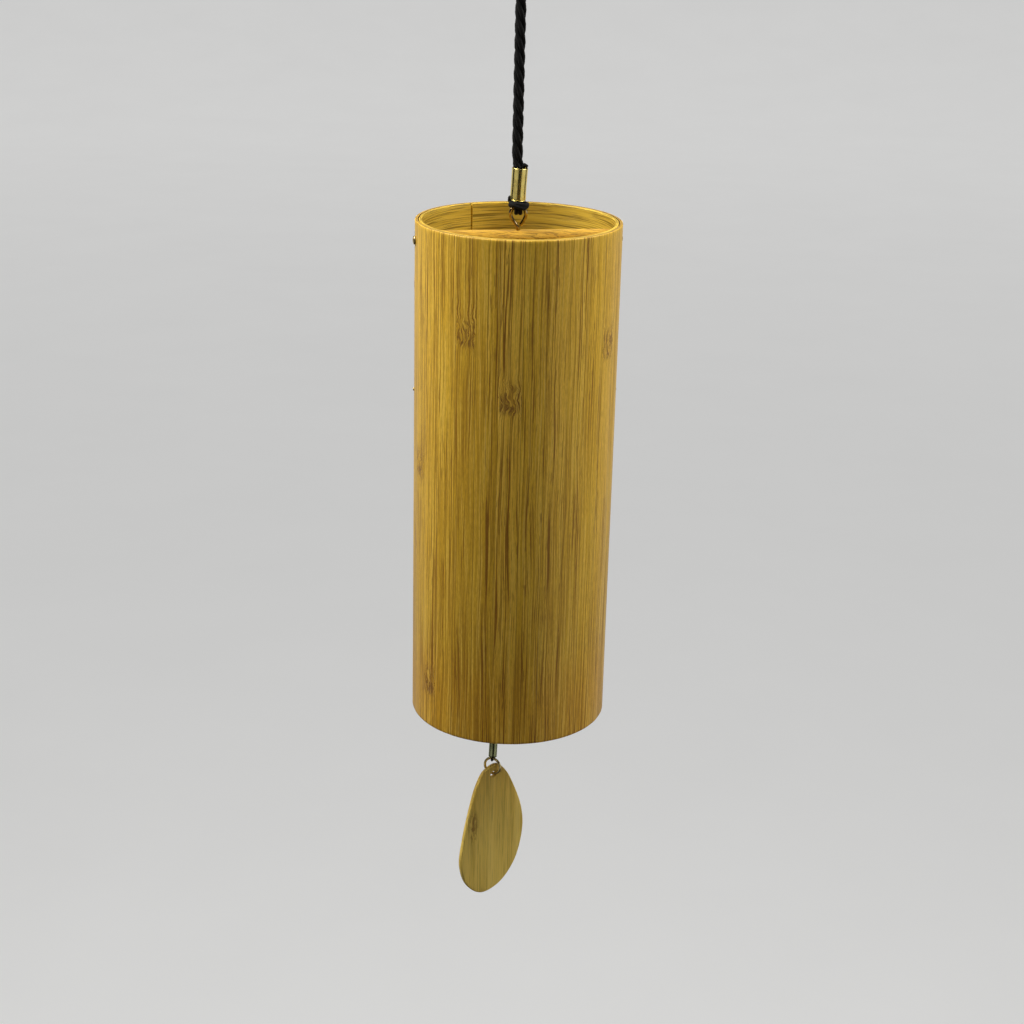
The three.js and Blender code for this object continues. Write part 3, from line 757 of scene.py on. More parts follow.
def make_strand_end():
    """The cut, fused end of a strand that stands out of the ferrule's mouth beside the cord."""
    low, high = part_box("upper_ferrule")
    top = height_of(high.z)
    x = (high.x - AXIS_X) / MM
    path = [(x - 1.75, -0.5, top - 2.5), (x - 1.75, -0.6, top - 0.5), (x - 1.6, -0.75, top + 0.55),
            (x - 1.15, -0.85, top + 0.85), (x - 0.55, -0.9, top + 0.5)]
    root, tip = 0.76, 0.60
    solid = swept_solid(smooth_line(path, KNOT_SPACING), (root, tip), **{**YARN, "lobe_depth": 0.09})
    return cord_piece("cord_cut_end", [solid], "cord", ())


def make_ferrule():
    """Brass tube with rolled lips, leaning as the knot pulls it."""
    bottom_x, bottom_z, length, tilt = -0.55, 6.2, 9.9, math.radians(2.8)
    outer, bore, lip = 2.5, 2.15, 0.17
    outline = [(bore, 0.25)]
    for step in range(7):
        share = 1 - math.cos(math.pi / 2 * step / 6)
        outline.append((outer - 0.175 * share, lip * share))
    outline += [(outer, 0.3), (outer - 0.03, 0.75), (outer - 0.05, length / 2)]
    outline += [(outer - 0.03, length - 0.75), (outer, length - 0.3)]
    outline += arc(outer - lip, length - lip, lip, lip, 0, 90, 6)
    outline += [(bore + 0.05, length - 0.05), (bore, length - 0.25)]

    def dent(angle, height):
        return -0.004 * (1 + math.cos(2 * angle)) * math.exp(-((height - 4) / 2.0) ** 2)

    lean = Matrix.Translation((bottom_x, 0, bottom_z)) @ Matrix.Rotation(tilt, 4, "Y")
    solid = moved(turned_solid(outline, 72, dent), lean)
    return make_piece("ferrule_brass", solid, "brass", "cord", ["upper_ferrule"], 50)


CORD = make_cord()
EYE = make_eye()
BIGHT = make_bight()
WRAP = make_wrap()
STRAND_END = make_strand_end()
FERRULE = make_ferrule()


# ---- Bamboo tube ----
STRIPS = 28
STRIP_ARC = 2 * math.pi / STRIPS
STRIP_WIDTH = STRIP_ARC * TUBE_RADIUS
FIRST_JOINT = math.radians(196.7)
STRIP_SEED = 28
NO_NODE = -400
NODE_HEIGHTS = [NO_NODE, NO_NODE, -20, -64, -98, -133]
# Height of the bamboo's own node on the strips in front, counted from the first joint rightwards.
FRONT_NODES = {0: -77, 1: -150, 3: -30, 5: -50, 10: -36}
FRONT_STRIPS = 13
# How pale each front strip is; a pale strip also gets more blue, which is painted reflection.
FRONT_TONES_AND_BLUE_REFLECTION = (0.6, 0.9, 0.7, 0.1, 0.3, 0.95, 0.5, 0.75, 0.55, 0.6, 0.9, 0.3)
# How dark the glued joint at each front strip's start is.
FRONT_JOINTS = {0: 0.3, 1: 0.7, 2: 0.75, 3: 0.85, 4: 0.85, 5: 0.3, 6: 0.9, 7: 0.7, 8: 0.3, 9: 0.6, 10: 0.65}
GROOVE_DEPTH = 0.06
LINING_RADIUS = box_radius("tube_inner_ply")


def rows_down(near, spacing):
    """Heights from the tube's top to its foot; near holds the depths of the rows close to either end."""
    count = int((TUBE_LENGTH - 2) / spacing)
    middle = [-near[-1] - spacing * step for step in range(1, count + 1)]
    return [-depth for depth in near] + middle + [depth - TUBE_LENGTH for depth in reversed(near)]


def tube_point(radius, angle, height):
    return place(radius * math.cos(angle), radius * math.sin(angle), height)


def strip_facts():
    """For each strip: the height of its node, its joint's darkness, its tone and its slight tilt."""
    chance = random.Random(STRIP_SEED)
    facts = []
    for strip in range(STRIPS):
        node = chance.choice(NODE_HEIGHTS)
        node += chance.uniform(-12, 12)
        if strip < FRONT_STRIPS:
            node = FRONT_NODES.get(strip, NO_NODE)
        joint = FRONT_JOINTS.get(strip, chance.uniform(0.3, 0.85))
        tone = chance.random()
        if strip < len(FRONT_TONES_AND_BLUE_REFLECTION):
            tone = FRONT_TONES_AND_BLUE_REFLECTION[strip]
        facts.append((node, joint, tone, chance.uniform(-1, 1)))
    return facts


def shell_of_strips():
    """The outer ply's solid, with its fields, and a list of each face's material."""
    facts = strip_facts()
    shares = [0, 0.025, 0.06, 0.2, 0.35, 0.5, 0.65, 0.8, 0.94, 0.975]
    length = TUBE_LENGTH
    heights = rows_down([0, 0.08, 0.25, 1], 1.5)
    drops = {0: 0.25, -0.08: 0.09, -length + 0.08: 0.09, -length: 0.25}
    columns = [(strip, share) for strip in range(STRIPS) for share in shares]
    rows = len(heights)
    points = []
    for height in heights:
        for strip, share in columns:
            node, joint, _tone, tilt = facts[strip]
            other_joint = facts[(strip + 1) % STRIPS][1]
            near_joint = joint if share < 0.5 else other_joint
            from_joint = min(share, 1 - share)
            groove = GROOVE_DEPTH * near_joint * max(0.0, 1 - from_joint / 0.055)
            swell = 0.10 * math.exp(-((height - node) / 2.2) ** 2)
            angle = FIRST_JOINT + (strip + share) * STRIP_ARC
            spot = Vector((math.cos(angle) * 2.1, math.sin(angle) * 2.1, height * 0.03))
            wave = 0.05 * noise.noise(spot)
            lean = tilt * 0.05 * (share - 0.5) * 2 * (1 if from_joint > 0.1 else from_joint / 0.1)
            radius = TUBE_RADIUS - 0.03 - drops.get(height, 0) - groove + swell + wave + lean
            points.append(tube_point(radius, angle, height))
    # The inner side, against the lining.
    glue = LINING_RADIUS + 0.05
    inner_heights = [0, -0.35, -length + 0.35, -length]
    for height in inner_heights:
        reach = glue + (0.16 if height in (0, -length) else 0)
        for strip, share in columns:
            angle = FIRST_JOINT + (strip + share) * STRIP_ARC
            points.append(tube_point(reach, angle, height))
    faces, kinds, grain, strip_field = [], [], [], []
    count = len(columns)

    def corner(strip, share, height):
        node, joint, tone, _tilt = facts[strip]
        other_joint = facts[(strip + 1) % STRIPS][1]
        grain.append(((share - 0.5) * STRIP_WIDTH, height, strip))
        strip_field.append((height - node, joint if share < 0.5 else other_joint, tone))

    def band(upper, lower, upper_z, lower_z, kind, flip=False):
        for index in range(count):
            strip, share = columns[index]
            after = (index + 1) % count
            share_after = columns[after][1] if columns[after][0] == strip else 1.0
            loop = [(upper + index, share, upper_z), (lower + index, share, lower_z),
                    (lower + after, share_after, lower_z), (upper + after, share_after, upper_z)]
            if flip:
                loop.reverse()
            faces.append([item[0] for item in loop])
            kinds.append(kind)
            for _point, where, height in loop:
                corner(strip, where, height)

    for row in range(rows - 1):
        band(row * count, (row + 1) * count, heights[row], heights[row + 1], 0)
    inner_start = rows * count
    for row, kind in enumerate((2, 0, 2)):
        start = inner_start + row * count
        band(start, start + count, inner_heights[row], inner_heights[row + 1], kind, True)
    band(inner_start, 0, 0, 0, 1)
    band((rows - 1) * count, inner_start + 3 * count, -length, -length, 1)
    return (points, faces, {"grain": grain, "strip": strip_field}), kinds


def make_shell():
    solid, kinds = shell_of_strips()
    shell = make_piece("tube_strips", solid, "strips", "housing", ["tube_outer_ply"], 50)
    shell.data.materials.append(LOOKS["ends"])
    shell.data.materials.append(LOOKS["glue"])
    shell.data.polygons.foreach_set("material_index", kinds)


SEAM_ANGLE = math.radians(120.9)
SEAM_WIDTH = 0.7


def make_lining():
    """The thin inner ply, rolled across its grain, with one open seam."""
    outer = LINING_RADIUS
    inner = BORE_RADIUS
    length = TUBE_LENGTH
    seam = SEAM_WIDTH / inner
    columns = [0, seam * 0.25, seam * 0.5, seam * 0.75, seam]
    steps = 220
    columns += [seam + (2 * math.pi - seam) * step / steps for step in range(1, steps)]
    start = SEAM_ANGLE - seam / 2
    heights = rows_down([0, 0.1, 0.3, 0.9], 2.2)
    drops = {0: 0.22, -0.1: 0.08, -length + 0.1: 0.08, -length: 0.22}
    points = []
    for height in heights:
        for turn in columns:
            angle = start + turn
            open_seam = 0.75 if 0 < turn < seam else 0.0
            spot = Vector((math.cos(angle) * 1.6, math.sin(angle) * 1.6, height * 0.1))
            wave = 0.06 * noise.noise(spot)
            radius = inner + drops.get(height, 0) + open_seam + wave
            points.append(tube_point(radius, angle, height))
    outer_heights = [0, -0.3, -length + 0.3, -length]
    for height in outer_heights:
        reach = outer - (0.14 if height in (0, -length) else 0)
        for turn in columns:
            points.append(tube_point(reach, start + turn, height))
    faces, grain = [], []
    count = len(columns)

    def band(upper, lower, upper_z, lower_z):
        for index in range(count):
            after = (index + 1) % count
            turn_after = columns[after] if after else 2 * math.pi
            faces.append([upper + index, upper + after, lower + after, lower + index])
            grain.extend([(columns[index] * inner, upper_z, 0), (turn_after * inner, upper_z, 0),
                          (turn_after * inner, lower_z, 0), (columns[index] * inner, lower_z, 0)])

    rows = len(heights)
    for row in range(rows - 1):
        band(row * count, (row + 1) * count, heights[row], heights[row + 1])
    band((rows - 1) * count, (rows + 3) * count, -length, -length - 1)
    band((rows + 3) * count, (rows + 2) * count, -length - 1, -length - 1.3)
    band((rows + 2) * count, (rows + 1) * count, -length - 1.3, 1.3)
    band((rows + 1) * count, rows * count, 1.3, 1)
    band(rows * count, 0, 1, 0)
    solid = points, faces, {"grain": grain}
    make_piece("tube_lining", solid, "lining", "housing", ["tube_inner_ply"], 50)


def drill(piece, start, end, radius):
    """Drills a hole through the piece from start to end, both in mm."""
    start, end = Vector(start), Vector(end)
    length = (end - start).length
    solid = turned_solid([(0, 0), (radius, 0), (radius, length), (0, length)], 32)
    points, faces, _fields = moved(solid, pointing(end - start, start))
    cutter = mesh_object("cutter", points, faces)
    cut = piece.modifiers.new("cut", "BOOLEAN")
    cut.operation = "DIFFERENCE"
    cut.solver = "EXACT"
    cut.object = cutter
    bpy.context.view_layer.update()
    shaped = piece.evaluated_get(bpy.context.evaluated_depsgraph_get())
    mesh = bpy.data.meshes.new_from_object(shaped)
    piece.modifiers.clear()
    piece.data = mesh
    bpy.data.objects.remove(cutter)


# ---- Wire eye, crossbar and nails ----
BAR_LOW, BAR_HIGH = heights_of("crossbar")
BAR_Z = (BAR_LOW + BAR_HIGH) / 2
BAR_RADIUS = (BAR_HIGH - BAR_LOW) / 2
BAR_TURN = math.radians(9.5)
BAR_HALF_LENGTH = 29.6
BAR_HOLE = 0.85
EYE_X = (JOINTS["tube_swivel"]["pos_m"][0] - AXIS_X) / MM
WIRE_RADIUS = 0.6
PIN_TURN = math.radians(5)
PIN_START = 25.5                      # how far from the tube's axis a pin's inner end lies


def around(angle, radius, z):
    return Vector((radius * math.cos(angle), radius * math.sin(angle), z))


def make_wire_eye():
    """Wire bent to an open eye over the bar, with a formed head under the washer."""
    head_z, _top = heights_of("eye_washer")
    route = [(0, 0, head_z - 0.6), (0, 0, -6), (0, 0, -3.4), (-0.35, 0, -1.9), (-1.55, 0, -0.3),
             (-2.4, 0, 1.6), (-2.05, 0, 3.15), (-1.3, 0, 3.8), (0, 0, BAIL_Z), (1.3, 0, 3.8),
             (2.05, 0, 3.15), (2.4, 0, 1.6), (1.75, 0, -0.1), (0.98, 0, -1.38)]
    wire = swept_solid(smooth_line([(x + EYE_X, y, z) for x, y, z in route], 0.25), WIRE_RADIUS, 24)
    head_outline = rounded_rod(WIRE_RADIUS * 2, head_z - 1.1, head_z - 0.3, 0.3)
    head = moved(turned_solid(head_outline, 32), Matrix.Translation((EYE_X, 0, 0)))
    make_piece("eye_wire", join_solids([wire, head]), "wire_brass_painted_shade", "bail", ["wire_eye"], 50)


def make_crossbar():
    def irregular(angle, height):
        return 0.012 * noise.noise(Vector((math.cos(angle), math.sin(angle), height * 0.15)))

    outline = rounded_rod(BAR_RADIUS, -BAR_HALF_LENGTH, BAR_HALF_LENGTH, 0.35, 40)
    solid = moved(turned_solid(outline, 72, irregular), pointing(around(BAR_TURN, 1, 0), (0, 0, BAR_Z)))
    bar = make_piece("bar_dowel", solid, "bar", "housing", ["crossbar"])
    past_bar = BAR_RADIUS + 1
    drill(bar, (EYE_X, 0, BAR_Z - past_bar), (EYE_X, 0, BAR_Z + past_bar), BAR_HOLE)


def side_of(node):
    """1 or -1, for the side of the tube that a frame node is on."""
    low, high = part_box(node)
    return 1 if (low.x + high.x) / 2 > AXIS_X else -1


def make_nail(node):
    """A round-headed nail through the tube's wall into the bar's end."""
    direction = around(BAR_TURN, side_of(node), 0)
    head, shank, length = 1.4, 0.65, 11
    outline = [(0, -length), (0.2, -length + 0.3), (shank, -length + 1.6), (shank, 0.05)]
    outline += [(head - 0.08, 0.05), (head, 0.14)] + arc(0, 0.3, head, 0.55, 0, 90, 8)[1:-1] + [(0, 0.85)]
    at = direction * TUBE_RADIUS + Vector((0, 0, BAR_Z))
    solid = moved(turned_solid(outline, 40), pointing(direction, at))
    make_piece(node + "_brass", solid, "worn_and_shaded_brass", "housing", [node])


def make_pin(node):
    """A headless pin through the tube's wall into the sound plate's edge."""
    direction = around(PIN_TURN, side_of(node), 0)
    at = direction * PIN_START + Vector((0, 0, sum(heights_of(node)) / 2))
    solid = moved(turned_solid(rounded_rod(0.55, 0, 7.15, 0.25), 28), pointing(direction, at))
    make_piece(node + "_brass", solid, "worn_and_shaded_brass", "housing", [node])


def make_washer():
    bottom, top = heights_of("eye_washer")
    outline = [(0.95, bottom + 0.08), (1.02, bottom), (1.9, bottom), (2, bottom + 0.1), (2, top - 0.1),
               (1.9, top), (1.02, top), (0.95, top - 0.08)]
    solid = moved(turned_solid(outline, 48), Matrix.Translation((EYE_X, 0, 0)))
    make_piece("washer_brass", solid, "brass", "housing", ["eye_washer"])


# ---- Sound plate and rods ----
PLATE_BOTTOM, _PLATE_TOP = heights_of("sound_plate")
RODS = [f"rod_{number}" for number in range(1, 9)]


def make_rod(node):
    """A rod, and the fillet of solder that holds it under the plate."""
    low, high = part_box(node)
    x = ((low.x + high.x) / 2 - AXIS_X) / MM
    y = (low.y + high.y) / 2 / MM
    radius = (high.x - low.x) / 2 / MM
    outline = rounded_rod(radius, height_of(low.z), height_of(high.z), 0.3, 6)
    solid = moved(turned_solid(outline, 32), Matrix.Translation((x, y, 0)))
    make_piece(node + "_steel", solid, "rod_steel", "housing", [node])
    fillet = [(radius, PLATE_BOTTOM - 2.4), (radius + 0.12, PLATE_BOTTOM - 1.9),
              (radius + 0.45, PLATE_BOTTOM - 0.9), (radius + 1.0, PLATE_BOTTOM - 0.35),
              (radius + 1.7, PLATE_BOTTOM - 0.06), (radius + 1.75, PLATE_BOTTOM), (radius, PLATE_BOTTOM)]

    def uneven(angle, _height):
        return 0.03 * math.sin(3 * angle + x)

    solid = moved(turned_solid(fillet, 32, uneven), Matrix.Translation((x, y, 0)))
    make_piece(node + "_solder", solid, "solder", "housing", (), 60)


# ---- Clapper pendulum ----
LINE_UP = Vector(JOINTS["sail_twist"]["axis"])
PIVOT = (Vector(JOINTS["clapper_swing"]["pos_m"]) - place(0, 0, 0)) / MM
PENDULUM = pointing(LINE_UP, PIVOT)
CLAPPER_TOP = -34
CLAPPER_BOTTOM = -39
CRIMP_TOP = -117.7
CRIMP_BOTTOM = -127.7
CRIMP_RADIUS = 1.45
THREAD_RADIUS = 0.4
PLY_ORBIT = 0.45                      # as shares of the thread's radius
PLY_SHARE = 0.58


def thread_solid(start, end):
    """A two-ply twisted thread between two points."""
    start, end = Vector(start), Vector(end)
    along = (end - start).normalized()
    side = along.orthogonal().normalized()
    other = along.cross(side)
    length = (end - start).length
    lay = THREAD_RADIUS * 6
    solids = []
    for ply in range(2):
        path = []
        steps = max(8, math.ceil(length / 0.3))
        for step in range(steps + 1):
            walked = length * step / steps
            angle = math.pi * ply + 2 * math.pi * walked / lay
            aside = side * math.cos(angle) + other * math.sin(angle)
            path.append(start + along * walked + aside * THREAD_RADIUS * PLY_ORBIT)
        solids.append(swept_solid(path, THREAD_RADIUS * PLY_SHARE, 8))
    return join_solids(solids)


def knot_solid(at, radius):
    """A small overhand knot: a thread wound over itself, round the line it is tied in."""
    at = Vector(at)
    thick = radius * 0.34
    reach = radius - thick
    steps = 96
    path = []
    for step in range(steps + 1):
        angle = 2 * math.pi * step / steps
        out = reach * (0.72 + 0.28 * math.cos(3 * angle))
        path.append(at + Vector((out * math.cos(2 * angle), out * math.sin(2 * angle),
                                 reach * 0.9 * math.sin(3 * angle))))
    return swept_solid(path, thick, 10)


def thread_piece(name, solids, body, replaced):
    return make_piece(name, join_solids(solids), "thread", body, replaced, 60)


def make_thread(name, start, end, body, replaced, extra=()):
    """A thread with anything tied in it."""
    thread = thread_piece(name, [thread_solid(start, end), *extra], body, replaced)


def make_threads():
    low, high = heights_of("anchor_knot")
    knot_z = (low + high) / 2
    knot_radius = (high - low) / 2
    low, high = heights_of("anchor_thread")
    make_thread("anchor_line", (0, 0, high + 1.2), (0, 0, low), "anchor",
                ["anchor_thread", "anchor_knot"], [knot_solid((0, 0, knot_z), knot_radius)])
    make_thread("clapper_line", PENDULUM @ Vector((0, 0, 0)), PENDULUM @ Vector((0, 0, CLAPPER_TOP - 1)),
                "clapper", ["clapper_thread"])
    knot_z = CLAPPER_BOTTOM - 0.3 - knot_radius
    knot = moved(knot_solid((0, 0, knot_z), knot_radius), PENDULUM)
    thread_piece("clapper_line_knot", [knot], "clapper", ["clapper_knot"])
    make_thread("sail_line", PENDULUM @ Vector((0, 0, knot_z - knot_radius - 0.3)),
                PENDULUM @ Vector((0, 0, CRIMP_TOP - 3)), "line", ["lower_thread"])


def make_bead():
    bottom, top = heights_of("anchor_bead")
    middle, half = (bottom + top) / 2, (top - bottom) / 2
    face = 1.6
    outline = [(0.8, bottom + 0.2), (1.0, bottom)]
    outline += arc(face, middle, box_radius("anchor_bead") - face, half, -90, 90, 12)
    outline += [(1.0, top), (0.8, top - 0.2)]
    solid = turned_solid(outline, 40)
    make_piece("bead_turned", solid, "clapper", "housing", ["anchor_bead"])


def make_clapper():
    radius, edge, bore, lip = 13, 0.9, 0.8, 0.3
    outline = [(bore, CLAPPER_BOTTOM + lip), (bore + lip, CLAPPER_BOTTOM)]
    outline += arc(radius - edge, CLAPPER_BOTTOM + edge, edge, edge, -90, 0, 6)
    outline += arc(radius - edge, CLAPPER_TOP - edge, edge, edge, 0, 90, 6)
    outline += [(bore + lip, CLAPPER_TOP), (bore, CLAPPER_TOP - lip)]
    solid = moved(turned_solid(outline, 96), PENDULUM)
    make_piece("clapper_disc", solid, "clapper", "clapper", ["clapper"])


def make_crimp():
    """The dull tube on the thread's end, pinched flat a little below its top."""
    bore, lip, edge = 1.0, 0.1, 0.12
    pinch_height, pinch_reach, pinch_depth, pinch_turn = 7.8, 1.2, 0.045, 0.7
    low, high, radius = CRIMP_BOTTOM, CRIMP_TOP, CRIMP_RADIUS
    outline = [(bore, low + lip), (bore + lip, low), (radius - edge, low), (radius, low + edge)]
    outline += [(radius, low + (high - low) * step / 16) for step in range(1, 16)]
    outline += [(radius, high - edge), (radius - edge, high), (bore + lip, high), (bore, high - lip)]

    def pinched(angle, height):
        near = math.exp(-((height - low - pinch_height) / pinch_reach) ** 2)
        return -pinch_depth * (1 + math.cos(2 * angle + pinch_turn)) * near

    solid = moved(turned_solid(outline, 48, pinched), PENDULUM)
    make_piece("crimp_brass", solid, "dull_brass", "crimp", ["crimp_tube"], 50)


# ---- Ring and sail ----
RING_TOP = (Vector(JOINTS["ring_swing"]["pos_m"]) - place(0, 0, 0)) / MM
RING_RADIUS = 2.85
RING_WIRE = 0.45
RING_TURN = math.radians(-25)
SAIL_TURN = math.radians(34)
SAIL_THICKNESS = 1.7
SAIL_HOLE = 1.25
SAIL_HOLE_DROP = 5.85
# Clockwise from the top, as (x, z) from the hole's centre.
SAIL_OUTLINE = [(1.5, 3.5), (5, 0.5), (8.6, -6.2), (12.2, -16.2), (12.9, -24.7), (9.8, -36.7), (3.4, -44),
                (-4, -45.8), (-10, -41.2), (-12.8, -32.7), (-11.8, -23.4), (-9.6, -13.2), (-6.6, -3.2),
                (-3.5, 1.8)]


def make_loop():
    half = [(-0.4, 2), (-0.42, 1), (-0.86, 0.3), (-0.74, -0.5), (0, -0.86)]
    whole = half + [(-x, z) for x, z in reversed(half[:-1])]
    turn = Matrix.Rotation(RING_TURN + math.pi / 2, 3, "Z")
    route = [RING_TOP + turn @ Vector((x, 0, z)) for x, z in whole]
    thread_piece("loop_of_thread", [swept_solid(smooth_line(route, 0.15), 0.26, 12, 3, 0.12, 0.9)],
                 "crimp", ["thread_loop"])


def make_ring():
    turn = Matrix.Rotation(RING_TURN, 3, "Z")
    slit = 0.06
    steps = 96
    route = []
    for step in range(steps + 1):
        angle = math.pi + slit / 2 + (2 * math.pi - slit) * step / steps
        route.append(RING_TOP + turn @ Vector((RING_RADIUS * math.cos(angle), 0,
                                               RING_RADIUS * (math.sin(angle) - 1))))
    solid = swept_solid(route, RING_WIRE, 20, round_ends=False)
    make_piece("ring_brass", solid, "worn_and_shaded_brass", "ring", ["jump_ring"], 50)


def closed_line(points, steps):
    """A centripetal Catmull-Rom curve through the points and back to the first."""
    count = len(points)
    given = [Vector(point) for point in points]
    line = []
    for index in range(count):
        a, b, c, d = (given[(index + shift) % count] for shift in (-1, 0, 1, 2))
        knots = [0.0]
        for before, after in ((a, b), (b, c), (c, d)):
            knots.append(knots[-1] + math.sqrt((after - before).length))
        for step in range(steps):
            t = knots[1] + (knots[2] - knots[1]) * step / steps
            line.append(catmull_point(a, b, c, d, knots, t))
    return line


def catmull_point(a, b, c, d, knots, t):
    """Barry and Goldman's pyramid for one point of a Catmull-Rom curve."""
    t0, t1, t2, t3 = knots
    ab = a.lerp(b, (t - t0) / (t1 - t0))
    bc = b.lerp(c, (t - t1) / (t2 - t1))
    cd = c.lerp(d, (t - t2) / (t3 - t2))
    abc = ab.lerp(bc, (t - t0) / (t2 - t0))
    bcd = bc.lerp(cd, (t - t1) / (t3 - t1))
    return abc.lerp(bcd, (t - t1) / (t2 - t1))


def make_sail():
    outline = closed_line(SAIL_OUTLINE, 10)
    count = len(outline)
    inward = []
    for index in range(count):
        along = (outline[(index + 1) % count] - outline[index - 1]).normalized()
        inward.append(Vector((along.y, -along.x)))
    edge = 0.5
    # Each row is how far in from the outline it lies, and its depth.
    rows = [(edge + 1.2, SAIL_THICKNESS / 2 + 0.02)]
    rows += [(edge - out, depth) for out, depth in arc(0, SAIL_THICKNESS / 2 - edge, edge, edge, 90, 0, 6)]
    rows += [(inset, -depth) for inset, depth in reversed(rows)]
    turn = Matrix.Rotation(SAIL_TURN, 3, "Z")
    hole = RING_TOP - Vector((0, 0, SAIL_HOLE_DROP))
    points = []
    for inset, depth in rows:
        for spot, way in zip(outline, inward):
            flat = spot + way * inset
            points.append(place(*(hole + turn @ Vector((flat.x, -depth, flat.y)))))
    faces = row_faces(len(rows), count)
    faces.append(list(range(count)))
    faces.append([(len(rows) - 1) * count + index for index in reversed(range(count))])
    sail = make_piece("sail_leaf", (points, faces, {}), "sail", "sail", ["wind_sail"])
    way = turn @ Vector((0, 1, 0))
    drill(sail, hole - way * 3, hole + way * 3, SAIL_HOLE)
    # The two broad faces have far more corners than any face of the rounded edge.
    many = 40
    for polygon in sail.data.polygons:
        polygon.use_smooth = len(polygon.vertices) < many


make_shell()
make_lining()
make_wire_eye()
make_washer()
make_crossbar()
for nail in ("crossbar_nail_left", "crossbar_nail_right"):
    make_nail(nail)
for pin in ("plate_pin_left", "plate_pin_right"):
    make_pin(pin)
for rod in RODS:
    make_rod(rod)
plate = frame["nodes"]["sound_plate"].data
plate.materials.clear()
plate.materials.append(LOOKS["plate_steel"])
make_bead()
make_threads()
make_clapper()
make_crimp()
make_loop()
make_ring()
make_sail()


# ---- Floor, world and lights ----
FLOOR_Z = CAD_BOX[0][2] - 0.8
STUDIO_RADIUS = 11
STUDIO_SIDES = 64
SWEEP_RADIUS = 4
LIT = place(0, 0, -30)
WARM = (1.0, 0.99, 0.96)
PALE = (1.0, 1.0, 0.97)
WHITE = (1.0, 1.0, 0.98)


def paper_look():
    """Matt pale paper, with a little light of its own so that it is even all round."""
    look = Look("studio_paper", roughness=0.9, Emission_Strength=0.42)
    tooth = look.noise(look.where, 0.004, 3.0)
    glow = look.ramp(tooth, (0.3, (0.99, 0.99, 0.98)), (0.7, (1.0, 1.0, 0.99)))
    look.feed(look.shader.inputs["Emission Color"], glow)
    look.material.cycles.emission_sampling = "NONE"
    return look.finish(look.ramp(tooth, (0.3, (0.50, 0.50, 0.495)), (0.7, (0.515, 0.515, 0.51))))


def stage_sheet(name, points, faces, material):
    """A sheet of the studio, which throws no shadow on the object."""
    sheet = mesh_object(name, points, faces)
    sheet.data.materials.append(material)
    sheet.data.shade_smooth()
    sheet.visible_shadow = False
    return sheet


def make_studio():
    """A pale floor that sweeps up into a wall and a dome all round, which only the camera sees."""
    flat = STUDIO_RADIUS - SWEEP_RADIUS
    outline = [(reach, 0) for reach in (0.5, 2, 4, flat)]
    outline += arc(flat, SWEEP_RADIUS, SWEEP_RADIUS, SWEEP_RADIUS, -90, 0, 12)[1:]
    outline += arc(0, SWEEP_RADIUS, STUDIO_RADIUS, 2 * SWEEP_RADIUS, 0, 90, 12)[1:-1]
    points = []
    for reach, height in outline:
        for side in range(STUDIO_SIDES):
            turn = 2 * math.pi * side / STUDIO_SIDES
            points.append((reach * math.cos(turn), reach * math.sin(turn), FLOOR_Z + height))
    faces = [list(range(STUDIO_SIDES))] + row_faces(len(outline), STUDIO_SIDES)
    faces.append(list(range(len(points) - STUDIO_SIDES, len(points))))
    studio = stage_sheet("floor", points, faces, paper_look())
    studio.visible_diffuse = False
    studio.visible_glossy = False
    studio.visible_transmission = False


def make_card():
    """A black card, out of the camera's sight, that keeps stray light off the front."""
    look = Look("card_cloth", roughness=1.0)
    weave = look.noise(look.where, 0.5, 3.0)
    cloth = look.finish(look.ramp(weave, (0.3, (0.01, 0.01, 0.01)), (0.7, (0.02, 0.02, 0.02))))
    front = -0.95
    corners = [(-0.17, front, FLOOR_Z), (0.42, front, FLOOR_Z), (0.42, front, 0.3), (-0.17, front, 0.3)]
    card = stage_sheet("card_front", corners, [[0, 1, 2, 3]], cloth)
    card.visible_camera = False


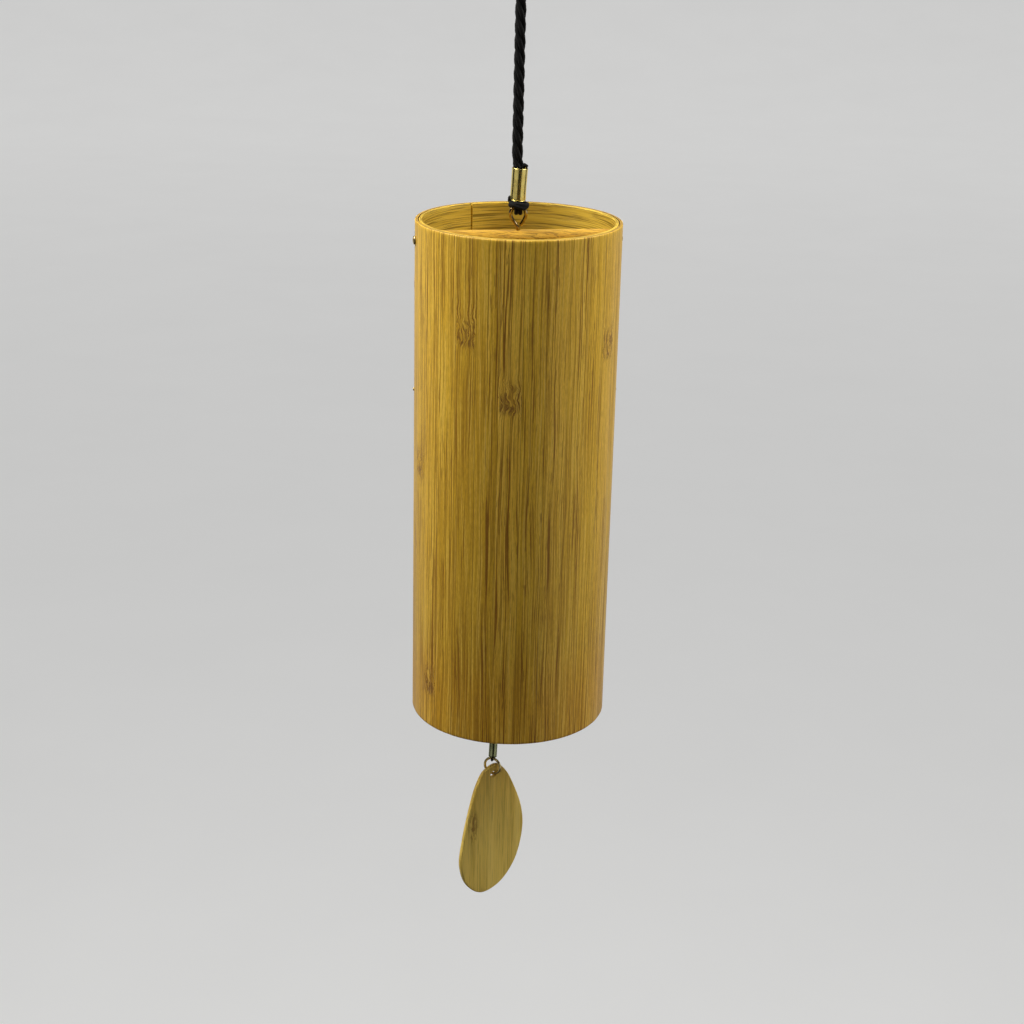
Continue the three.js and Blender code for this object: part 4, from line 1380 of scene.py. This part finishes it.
def make_light(name, place_m, size, power, colour, target=LIT):
    """A soft lamp, in metres and watts, that faces its target."""
    data = bpy.data.lights.new(name, "AREA")
    data.shape = "RECTANGLE"
    data.size, data.size_y = size
    data.energy = power
    data.color = colour
    light = bpy.data.objects.new(name, data)
    light.location = place_m
    light.visible_camera = False
    aim = target - Vector(place_m)
    light.rotation_euler = aim.to_track_quat("-Z", "Y").to_euler()
    bpy.context.scene.collection.objects.link(light)


def make_world():
    """Dim all round, and bright low down behind the object, as a pale floor there would be."""
    world = bpy.data.worlds.new("studio")
    bpy.context.scene.world = world
    world.use_nodes = True
    tree = world.node_tree
    split = tree.nodes.new("ShaderNodeSeparateXYZ")
    tree.links.new(tree.nodes.new("ShaderNodeTexCoord").outputs["Generated"], split.inputs[0])

    def ramp(part, start, end, low, high):
        node = tree.nodes.new("ShaderNodeMapRange")
        node.interpolation_type = "SMOOTHSTEP"
        tree.links.new(split.outputs[part], node.inputs[0])
        for index, value in enumerate((start, end, low, high), 1):
            node.inputs[index].default_value = value
        return node.outputs[0]

    def joined(operation, first, second):
        node = tree.nodes.new("ShaderNodeMath")
        node.operation = operation
        tree.links.new(first, node.inputs[0])
        tree.links.new(second, node.inputs[1])
        return node.outputs[0]

    low_behind = joined("MULTIPLY", ramp("Y", 0.3, 0.65, 0.0, 0.62), ramp("Z", 0.05, -0.05, 0.0, 1.0))
    back = tree.nodes["Background"]
    back.inputs["Color"].default_value = (0.98, 0.98, 1.0, 1)
    tree.links.new(joined("ADD", ramp("Y", -0.9, 0.3, 0.0, 0.03), low_behind), back.inputs["Strength"])


make_studio()
make_card()
make_world()
make_light("key_left", (-0.50, -0.04, 0.42), (0.45, 0.5), 6.9, WARM)
make_light("key_high", (-0.34, 0.02, 0.55), (0.4, 0.4), 2.5, WARM)
make_light("fill_right", (0.50, 0.03, 0.42), (0.45, 0.5), 5.5, (1.0, 0.99, 0.97))
make_light("panel_left", (-0.64, -0.54, -0.23), (1.05, 0.2), 0.33, PALE)
make_light("panel_low", (-0.64, -0.54, -0.72), (1.05, 0.2), 0.26, PALE)
make_light("panel_right", (0.78, -0.38, -0.33), (1.0, 0.9), 1.7, WHITE)
make_light("front_soft", (0.0, -1.1, 0.7), (0.6, 0.4), 2.2, WHITE)
make_light("floor_wash", (0.0, 13.0, 9.0), (24.0, 16.0), 1100, (1.0, 1.0, 1.0), Vector((0, 13.0, FLOOR_Z)))
